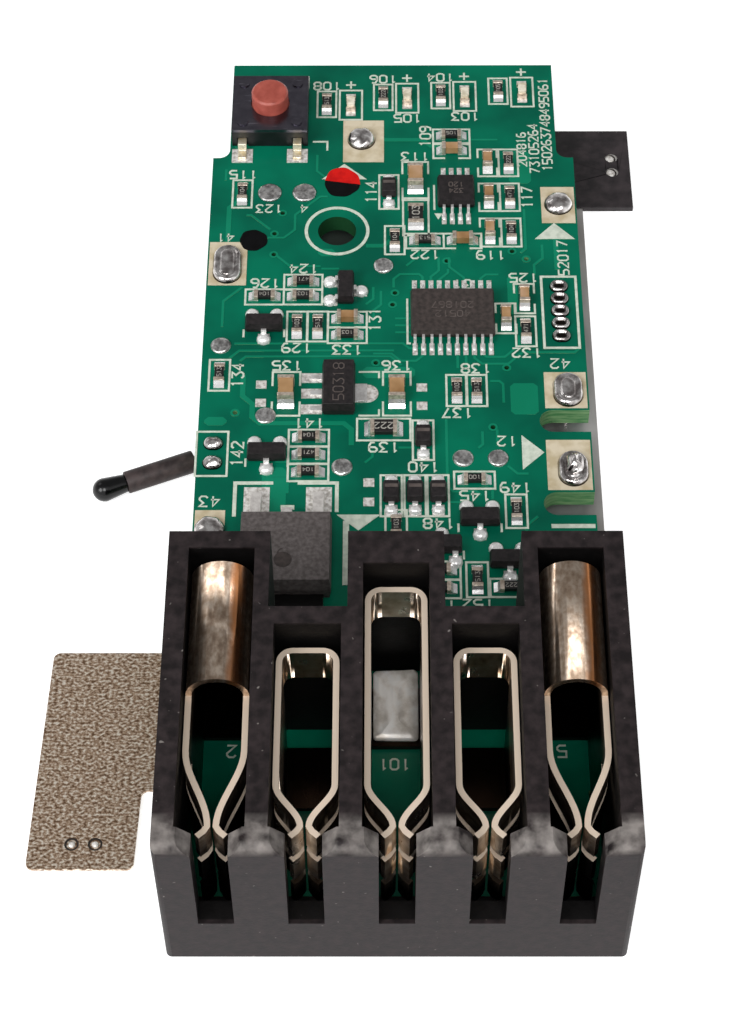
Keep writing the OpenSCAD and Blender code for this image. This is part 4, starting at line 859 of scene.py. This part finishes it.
legend = bmesh.new()
FRAMES = [part_frame(box, 1.5, 0.78) for box in RESISTORS]
FRAMES += [part_frame(box, 2, 1.02) for box in BIG_RESISTORS]
FRAMES += [around(c.x, c.y, 0.78, 1.85) for c in map(middle, DIODES)]
for area in FRAMES:
    box_lines(legend, area)
BRACKETS = [part_frame(box, 1.5, 0.78) for box in CAPACITORS]
BRACKETS += [part_frame(box, 2.1, 1.05) for box in BIG_CAPACITORS]
for x0, y0, x1, y1 in BRACKETS:
    arm = 0.32 * max(x1 - x0, y1 - y0)
    if y1 - y0 > x1 - x0:
        strokes(legend, [(x0, y0 + arm), (x0, y0), (x1, y0), (x1, y0 + arm)],
                [(x0, y1 - arm), (x0, y1), (x1, y1), (x1, y1 - arm)])
    else:
        strokes(legend, [(x0 + arm, y0), (x0, y0), (x0, y1), (x0 + arm, y1)],
                [(x1 - arm, y0), (x1, y0), (x1, y1), (x1 - arm, y1)])
PLUSES = []
for c in map(middle, LAMPS):
    FRAMES.append(around(c.x, c.y, 0.93, 1.7))
    box_lines(legend, FRAMES[-1])
    y = c.y + 2.35
    strokes(legend, [(c.x - PLUS, y), (c.x + PLUS, y)], [(c.x, y - PLUS), (c.x, y + PLUS)])
    PLUSES.append(around(c.x, y, 0.5, 0.55))
FRAMES += BRACKETS
print("outlined", len(FRAMES), "parts")

# %% [markdown]
# The larger parts have open marks: brackets at their corners, a bar where the first lead is.
# The locating hole has a wide ring, and the programming holes and the thermistor have boxes.

# %% Marks of the larger parts
(c0, c1), (a0, a1), (r0, r1), (p0, p1) = (
    box_mm(name) for name in ("controller", "amplifier", "regulator", "power_transistor"))
strokes(legend, [(c0.x - 0.25, c1.y - 0.3), (c0.x - 0.25, c0.y - 0.4), (c0.x, c0.y - 0.4)],
        [(a0.x - 0.25, a1.y - 0.3), (a0.x - 0.25, a0.y)],
        [(r1.x + 0.25, r1.y - 0.15), (r1.x + 1.8, r1.y - 0.15), (r1.x + 1.8, r1.y - 0.75)],
        [(r1.x + 0.25, r0.y + 0.15), (r1.x + 1.8, r0.y + 0.15), (r1.x + 1.8, r0.y + 0.75)])
rail = p1.y + 4.1
strokes(legend, [(p0.x - 0.6, rail - 3), (p0.x - 0.6, rail), (p0.x + 2.2, rail)],
        [(p1.x - 2.6, rail), (p1.x + 0.3, rail), (p1.x + 0.3, rail - 2.6)], width=0.28)
strokes(legend, [(p1.x + 1, p0.y + 1.2), (p1.x + 1, p1.y + 0.7)], width=0.44)
slab(legend, corners(p0.x + 2.8, p1.y + 1.7, p0.x + 3.8, p1.y + 2.1), SUNK, INK_TOP)
for low, high in TRANSISTORS:
    if high.x - low.x > high.y - low.y:
        strokes(legend, *[[(x, low.y - 0.3), (x, low.y + 0.45)]
                          for x in (low.x - 0.12, high.x + 0.12)])
strokes(legend, ring_route(*LOCATING[:2], 2.46, 72), width=0.26, closed=True)
# The header's holes are a little narrower than those of the thermistor.
header, leads = ([h for h in HOLES if above < h[2] < below]
                 for above, below in ((0.6, 0.68), (0.68, 0.8)))
x, y, _ = header[0]
box_lines(legend, (x - 1.35, y - 1.15, x + 1.35, header[-1][1] + 1.05), 0.2)
x, y, _ = leads[0]
box_lines(legend, (x - 1.15, y - 1.2, x + 1.2, leads[-1][1] + 1.1))
FRAMES.append((x - 1.2, y - 1.3, x + 1.3, leads[-1][1] + 1.2))
print("header holes:", len(header), "thermistor holes:", len(leads))

# %% [markdown]
# Numbers beside the parts are drawn as strokes on a grid four wide and six high, the way a
# plotter pen draws them. They are plain counts. As on many boards they are turned to be read
# from the far side. Each number goes to the first free place round its part.

# %% Stroke numerals
NUMERALS = {
    "0": "10 30 41 45 36 16 05 01 10", "1": "15 26 20", "2": "05 16 36 45 44 00 40",
    "3": "06 46 24 33 42 41 30 10 01", "4": "30 36 02 42", "5": "46 06 03 33 42 41 30 00",
    "6": "36 16 04 01 10 30 41 42 33 03", "7": "06 46 10",
    "8": "13 04 05 16 36 45 44 33 42 41 30 10 01 02 13 33", "9": "10 30 42 45 36 16 05 04 13 43",
}
GRID_ROWS, ADVANCE = 6, 5.6      # a digit's height, and the step to the next, in grid units


def number(bm, text, x, y, height, angle=180, width=0.15, low=SUNK, high=INK_TOP):
    """Draws text, centred on (x, y), turned by angle."""
    unit = height / GRID_ROWS
    advance = ADVANCE * unit
    cosine, sine = math.cos(math.radians(angle)), math.sin(math.radians(angle))
    for i, digit in enumerate(text):
        left = (i - (len(text) - 1) / 2) * advance - 2 * unit
        route = [(left + int(p[0]) * unit, (int(p[1]) - 3) * unit)
                 for p in NUMERALS[digit].split()]
        ribbon(bm, [(x + u * cosine - v * sine, y + u * sine + v * cosine) for u, v in route],
               width, low, high)


LETTER_H = 0.86


def ground(box, dx=0.0, dy=0.0):
    """The rectangle below a box, widened by dx and dy."""
    return box[0].x - dx, box[0].y - dy, box[1].x + dx, box[1].y + dy


OBSTACLES = FRAMES + PLUSES + [ground(box) for box in solids("pads")]
OBSTACLES += [ground(box_mm(name)) for name in (
    "controller_leads", "amplifier_leads", "regulator_leads", "power_transistor_leads",
    "terminal_block", "switch_legs", "switch_base", "nickel_tab")]
OBSTACLES += [ground(box, 0.2, 0.3)
              for box in TRANSISTORS + solids("joint_solder") + solids("transistor_leads")]
OBSTACLES.append(around(*LOCATING[:2], 2.7, 2.7))
OBSTACLES += [(10.8, 41.8, 15, 43.9), (10.8, 34.1, 15, 36.1)]      # notches in the right edge
OBSTACLES += [(8.9, 67, 13.2, 80.6), (12.6, 56.8, 14.4, 62.9)]     # columns of digits
board_low, board_high = box_mm("board")


def is_free(area):
    inside = (area[0] > board_low.x + 0.2 and area[2] < board_high.x - 0.2
              and area[3] < board_high.y - 0.2)
    return inside and all(area[2] < o[0] or area[0] > o[2] or area[3] < o[1] or area[1] > o[3]
                          for o in OBSTACLES)


print(len(OBSTACLES), "places are taken")

# %% [markdown]
# Fields of cream ink mark the places for stickers and batch marks, and solid triangles point
# at the header, the diodes and the first lead of a package.

# %% Cream fields and triangles
cream = bmesh.new()
CREAM_FIELDS = [(-4.1, 69.4, -0.75, 74.1), (11.9, 62.7, 14.6, 66.6), (-14.6, 56.2, -11.6, 60.7),
                (11.4, 44, 14.6, 47.45), (11.3, 36.4, 14.6, 41), (-14.6, 31, -12.4, 34.6)]
for area in CREAM_FIELDS:
    slab(cream, corners(*area), SUNK, INK_TOP)
    OBSTACLES.append(area)
TRIANGLES = [[(-3.98, 69.2), (-5.8, 67.5), (-2.15, 67.5)],
             [(11.25, 61), (14.45, 61), (12.85, 62.7)],
             [(9.5, 38.25), (11.15, 39.85), (9.5, 41.45)],
             [(-4.25, 34.2), (-2.65, 32.8), (-1.05, 34.2)]]
for triangle in TRIANGLES:
    slab(legend, triangle, SUNK, INK_TOP)
    xs, ys = zip(*triangle)
    OBSTACLES.append((min(xs), min(ys), max(xs), max(ys)))
slab(legend, [(3.3, 63.75), (3.95, 63.75), (3.6, 63.1)], SUNK, INK_TOP)
slab(legend, corners(11.4, 33, 14.6, 33.35), SUNK, INK_TOP)
strokes(legend, [(-6.6, 71.7), (-5.4, 71.7), (-5.4, 70.7)])
DOTS = [(-11.15, 60.9, 2.2), (-4.15, 67.15, 3.2)]       # dots where holes look into the dark: x, y, diameter
OBSTACLES += [around(x, y, size / 2, size / 2) for x, y, size in DOTS]
print(len(CREAM_FIELDS), "fields,", len(TRIANGLES) + 2, "solid marks")

# %% [markdown]
# Columns of small digits run along the right edge, and a few single numbers stand by the
# packages, the strips and the contacts. They are plain digits that mean nothing.

# %% Columns and single numbers
NOTES = [("150263748495061", 12.6, 73.7, 0.76, 90), ("73105264", 11.55, 70.9, 0.76, 90),
         ("204816", 10.55, 70.8, 0.7, 90), ("52017", 13.4, 59, 0.8, 90),
         ("11", 4.1, 66.3, 0.86, 180), ("41", -13.4, 61.2, 0.8, 180), ("31", 5.4, 56.3, 0.86, 180),
         ("123", -10, 64.3, 0.8, 180), ("4", -7.2, 64.3, 0.8, 180),
         ("42", 12.7, 48.3, 0.9, 180), ("43", -13.6, 35.4, 0.9, 180), ("12", 8.4, 40.9, 0.86, 180),
         ("101", -0.1, 13.5, 0.8, 180), ("2", -11.2, 14.5, 0.9, 180), ("5", 11.3, 14.5, 0.9, 180)]
for text, x, y, height, turn in NOTES:
    number(legend, text, x, y, height, turn, 0.13)
    half_w, half_h = 0.47 * height * len(text), 0.5 * height
    if turn == 90:
        half_w, half_h = half_h, half_w
    OBSTACLES.append(around(x, y, half_w, half_h))
print(len(NOTES), "notes")

# %% [markdown]
# The numbers need free ground. The parts' frames, leads and pads are kept as rectangles, and
# each number tries the four sides of its part, close by first, before it is drawn.

# %% Numbers beside the parts
def label(bm, text, area):
    """Puts text at the first free side of area."""
    half_w, half_h = 0.5 * ADVANCE * LETTER_H / GRID_ROWS * len(text), 0.5 * LETTER_H
    x, y = (area[0] + area[2]) / 2, (area[1] + area[3]) / 2
    for gap in (0.2, 0.45, 0.8, 1.2):
        for dx, dy, turn in ((0, -1, 180), (0, 1, 180), (-1, 0, 90), (1, 0, 90), (-1, 0, 180),
                             (1, 0, 180)):
            w, h = (half_h, half_w) if turn == 90 else (half_w, half_h)
            cx = x + dx * ((area[2] - area[0]) / 2 + gap + w)
            cy = y + dy * ((area[3] - area[1]) / 2 + gap + h)
            taken = around(cx, cy, w + 0.1, h + 0.1)
            if is_free(taken):
                OBSTACLES.append(taken)
                number(bm, text, cx, cy, LETTER_H, turn)
                return True
    return False


FIRST_NUMBER = 101
placed = sum(label(legend, str(FIRST_NUMBER + i), area)
             for i, area in enumerate(sorted(FRAMES, key=lambda f: (-f[3], f[0]))))
mesh_object("legend_white", legend, LEGEND_INK)
mesh_object("legend_cream", cream, CREAM_INK)
print(placed, "of", len(FRAMES), "parts have a number")

# %% [markdown]
# Two dots are drawn where holes look through the board: one black, and one half red, half
# black. Their black is painted shade, the dark below the board.

# %% Dots of painted shade
def blot(name, x, y, wide, deep, material, start, end, high):
    """A flat blot with an uneven rim, from one angle to the other."""
    bm = bmesh.new()
    rim = []
    for i in range(41):
        a = math.radians(start + (end - start) * i / 40)
        waver = 1 + 0.03 * math.sin(3 * a + x) + 0.02 * math.sin(7 * a + y)
        rim.append((x + wide / 2 * waver * math.cos(a), y + deep / 2 * waver * math.sin(a)))
    if end - start == 360:
        rim.pop()
    slab(bm, rim, SUNK, high)
    return mesh_object(name, bm, material)


(left_x, left_y, left_d), (x, y, size) = DOTS
blot("painted_shade_dot_left", left_x, left_y, left_d, left_d, HOLE_SHADE_PAINT, 0, 360, 0.04)
blot("dot_red_half", x, y, 0.9 * size, size, RED_INK, -8, 172, 0.04)
blot("painted_shade_dot_half", x, y - 0.03, 0.88 * size, 0.97 * size, HOLE_SHADE_PAINT, 172, 352, 0.037)
print("dots: 2")

# %% [markdown]
# Figures are printed or lasered on the parts themselves. Each thick resistor carries its
# value as three figures, and the packages carry one or two rows of plain figures.

# %% Figures on the parts
random.seed(7)
marks, faint_marks, diode_marks = bmesh.new(), bmesh.new(), bmesh.new()
CODES = ["104", "103", "222", "471", "105", "100", "513", "334"]
for group, height, width in ((RESISTORS, 0.32, 0.05), (BIG_RESISTORS, 0.55, 0.09)):
    for box in group:
        c, top = middle(box), box[1].z
        number(marks, random.choice(CODES), c.x, c.y, height, 90 if runs_along(box) else 180,
               width, top - 0.02, top + 0.006)
for name, rows, height, turn in (("controller", ("40512", "201867"), 0.6, 180),
                                 ("amplifier", ("324", "120"), 0.45, 180),
                                 ("regulator", ("50318",), 0.8, 90)):
    c, top = middle(box_mm(name)), box_mm(name)[1].z
    for i, text in enumerate(rows):
        number(faint_marks, text, c.x, c.y + (i - (len(rows) - 1) / 2) * 1.5 * height, height,
               turn, 0.08, top - 0.02, top + 0.005)
for low, high in DIODES:
    slab(diode_marks, corners(low.x + 0.15, high.y - 0.75, high.x - 0.15, high.y - 0.45),
         high.z - 0.02, high.z + 0.006)
# The pin that pushed the power transistor out of its mould has left a round mark.
ejector = bmesh.new()
ring = ring_route(p0.x + 0.48 * (p1.x - p0.x), p0.y + 0.3 * (p1.y - p0.y), 0.62)
ribbon(ejector, ring, 0.07, p1.z - 0.02, p1.z + 0.012, closed=True)
slab(ejector, ring, p1.z - 0.02, p1.z + 0.004)
mesh_object("ejector_mark", ejector, IC_EPOXY)
mesh_object("resistor_figures", marks, FIGURE_INK)
mesh_object("package_figures", faint_marks, FAINT_INK)
mesh_object("diode_bands", diode_marks, FAINT_INK)
print("marked", len(RESISTORS) + len(BIG_RESISTORS), "resistors and 3 packages")

# %% [markdown]
# Solder wets a lead and its pad and freezes as a smooth drop, fuller at the lead's toe. Drops
# on the near side of a package face the light and look white, and the far ones look grey. Both
# are the same metal, so only their shape is made here: a dome with a full belly.

# %% Solder drops on leads
def stack(bm, rings, tip):
    """Joins rings of points in mm, from the foot up, and closes them with a floor and a tip."""
    rows = [[bm.verts.new(Vector(p) * MM) for p in ring] for ring in rings]
    count = len(rows[0])
    for lower, upper in zip(rows, rows[1:]):
        for k in range(count):
            bm.faces.new((lower[k], lower[(k + 1) % count], upper[(k + 1) % count], upper[k]))
    top = bm.verts.new(Vector(tip) * MM)
    for k in range(count):
        bm.faces.new((rows[-1][k], rows[-1][(k + 1) % count], top))
    bm.faces.new(rows[0][::-1])


DOME_RINGS, DOME_SIDES = 6, 20


def dome(bm, x, y, wide, deep, high, base, sag=1.0):
    """A rounded drop on a level face. A sag below 1 gives it a full belly."""
    rings = []
    turns = [math.tau * k / DOME_SIDES for k in range(DOME_SIDES)]
    for i in range(DOME_RINGS):
        t = i / DOME_RINGS * math.pi / 2
        out, up = math.cos(t) ** sag, math.sin(t)
        rings.append([(x + wide / 2 * out * math.cos(a), y + deep / 2 * out * math.sin(a),
                       base + high * up) for a in turns])
    foot = [(px, py, base + SUNK) for px, py, _ in rings[0]]
    stack(bm, [foot] + rings, (x, y, base + high))


PAD_TOP = 0.035
# The leads, their packages, the drop's width and length, its height, and its place past the
# lead's end.
TOES = [("transistor_leads", TRANSISTORS, (1.1, 1.1), 0.45, 0.02),
        ("diode_leads", DIODES, (1.0, 0.95), 0.38, 0.02),
        ("controller_leads", [(c0, c1)], (0.36, 0.5), 0.12, -0.06),
        ("amplifier_leads", [(a0, a1)], (0.36, 0.5), 0.12, -0.06)]
drops = bmesh.new()
count = 0
for name, packages, size, height, past in TOES:
    for lead in solids(name):
        c, half = middle(lead), (lead[1] - lead[0]) / 2
        low, high = min(packages, key=lambda b: (c - middle(b)).length)
        off = c - (low + high) / 2
        if abs(off.y) / (high.y - low.y) > abs(off.x) / (high.x - low.x):
            x, y = c.x, c.y + math.copysign(half.y + past, off.y)
            wide, deep = size
        else:
            x, y = c.x + math.copysign(half.x + past, off.x), c.y
            deep, wide = size
        dome(drops, x, y, wide, deep, height, PAD_TOP, 0.8)
        count += 1
mesh_object("lead_drops", drops, DROP_TIN, smooth=True)
print("drops on leads:", count)

# %% [markdown]
# The strips and the leads are soldered by hand, with more tin than the small parts. Each joint
# is built from rings, stacked from its foot to its middle. The long ones have a steep rim round
# a shallow trough, with the tip of the strip's tongue in it. The round ones are full drops.

# %% Stacked rings
STADIUM_SIDES = 48


def stadium(x, y, half_x, half_y, corner):
    """A rounded outline in mm. A corner of 1 gives round ends, and less gives a blunter form."""
    radius = corner * min(half_x, half_y)
    points = []
    for i in range(STADIUM_SIDES):
        a = math.tau * (i + 0.5) / STADIUM_SIDES
        points.append((x + math.copysign(half_x - radius, math.cos(a)) + radius * math.cos(a),
                       y + math.copysign(half_y - radius, math.sin(a)) + radius * math.sin(a)))
    return points


def mound(bm, x, y, half_x, half_y, profile, rough=0.0, corner=1.0, climb=0.0):
    """Rings at (inset, height) in mm, closed at the middle. rough moves each point by noise,
    and climb raises the far end by so much per mm."""
    rings = []
    for inset, height in profile:
        ring = []
        for px, py in stadium(x, y, half_x - inset, half_y - inset, corner):
            shake = rough * noise.noise(Vector((2.2 * px, 2.2 * py, 3 * height)))
            shake += climb * (py - y + half_y)
            ring.append((px, py, height + shake * (height > 0.05)))
        rings.append(ring)
    stack(bm, rings, (x, y, profile[-1][1] + rough * 0.3 + climb * half_y))


LONG_JOINT = [(0, SUNK), (0, 0.04), (0.07, 0.26), (0.2, 0.44), (0.32, 0.46), (0.46, 0.38),
              (0.6, 0.36), (0.66, 0.45), (0.74, 0.48), (0.95, 0.48)]
ROUND_JOINT = [(0, SUNK), (0, 0.04), (0.06, 0.24), (0.18, 0.44), (0.38, 0.58), (0.62, 0.66),
               (0.9, 0.68)]
joints = bmesh.new()
BOXES = solids("joint_solder")
for box in BOXES:
    c, half = middle(box), (box[1] - box[0]) / 2
    is_long = half.y > half.x + 0.1
    mound(joints, c.x, c.y, half.x, half.y, LONG_JOINT if is_long else ROUND_JOINT,
          0.05 if is_long else 0.12)
# The joint nearest the block on the right was torn off the iron and froze as a ragged peak.
c = middle(min((b for b in BOXES if b[0].x > 10), key=lambda b: b[0].y))
mound(joints, c.x + 0.1, c.y + 0.2, 0.75, 1.05,
      [(0, 0.3), (0.12, 0.6), (0.3, 0.85), (0.5, 1.0), (0.65, 1.1)], 0.5)
hand_soldered = mesh_object("hand_soldered_joints", joints, JOINT_TIN, smooth=True)
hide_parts("joint_solder")
print("joints:", len(BOXES))

# %% [markdown]
# The bare test pads were wetted and left as low pillows of tin. The pads of the programming
# header hold a ring of tin round each hole, and the thermistor's leads end in small lumps.

# %% Tin on pads
pillows = bmesh.new()
KEY_PADS_FROM, KEY_PAD_SPREAD = 63, 1.25      # the two pads by the button hold more tin
count = 0
for box in solids("pads"):
    c, half = middle(box), (box[1] - box[0]) / 2
    if half.x <= 0.7 or abs(half.x - half.y) >= 0.025:
        continue             # small pads and oblong ones stay flat
    count += 1
    if c.y > KEY_PADS_FROM:
        half *= KEY_PAD_SPREAD
    mound(pillows, c.x, c.y, half.x, half.y,
          [(0, SUNK), (0, 0.05), (0.05, 0.13), (0.16, 0.18), (0.4, 0.17), (0.6, 0.17)], 0.06)
mesh_object("test_pad_pillows", pillows, DULL_TIN, smooth=True)
tin = bmesh.new()
for x, y, size in header:
    mound(tin, x, y, 0.74, 0.6,
          [(0, SUNK), (0, 0.04), (0.06, 0.2), (0.15, 0.32), (0.24, 0.3), (0.33, 0.12), (0.42, 0.1)])
for x, y, size in leads:
    mound(tin, x + 0.1, y, 0.75, 0.62,
          [(0, SUNK), (0, 0.04), (0.08, 0.2), (0.22, 0.34), (0.4, 0.46), (0.52, 0.5)], 0.12)
# JOINT_TIN carries the painted reflection at its foot, so these low rings are mostly dark.
mesh_object("tin_on_holes", tin, JOINT_TIN, smooth=True)
print("test pads:", count, "filled holes:", len(header) + len(leads))

# %% [markdown]
# The tail of the middle contact is flooded with tin, which shows as a bright pool between its
# arms. The strips were spot-welded through pairs of dimples: each has a burnt ring round a
# bright button of metal.

# %% Pool on the middle tail and weld spots
pool = bmesh.new()
TAIL_TOP = 0.4
POOL = [(0, SUNK), (0, 0.1), (0.12, 0.22), (0.5, 0.28), (0.9, 0.3), (1.3, 0.3)]
mound(pool, middle(box_mm("signal_contact_3")).x, 17.5, 1.55, 2.45,
      [(inset, TAIL_TOP + rise) for inset, rise in POOL], 0.24, 0.2, 0.22)
mesh_object("tin_on_middle_tail", pool, POOL_TIN, smooth=True)

DIMPLE_GAP, DIMPLE_R = 1.6, 0.5
tab, bus, film = (box_mm(name) for name in ("nickel_tab", "bus_strip", "flag_sleeve"))
STRIP_TOP = tab[0].z + 0.2
buttons, scale = bmesh.new(), bmesh.new()
for k in range(2):
    for x, y, size in ((tab[0].x + 3 + k * DIMPLE_GAP, tab[0].y + 1.9, 0.5),
                       (bus[1].x - 1.5, film[0].y + 4 + k * DIMPLE_GAP, 0.86)):
        ribbon(scale, ring_route(x, y, DIMPLE_R - 0.06, 24), 0.16, STRIP_TOP - 0.12,
               STRIP_TOP - 0.05, closed=True)
        dome(buttons, x, y, size, size, 0.16, STRIP_TOP - 0.1)
mesh_object("weld_rings", scale, HEAT_SCALE)
mesh_object("weld_buttons", buttons, SATIN_TIN, smooth=True)
print("weld spots: 4; strips' top at", round(STRIP_TOP, 2), "mm")

# %% [markdown]
# The dressed model has to stay inside the box of the solids.
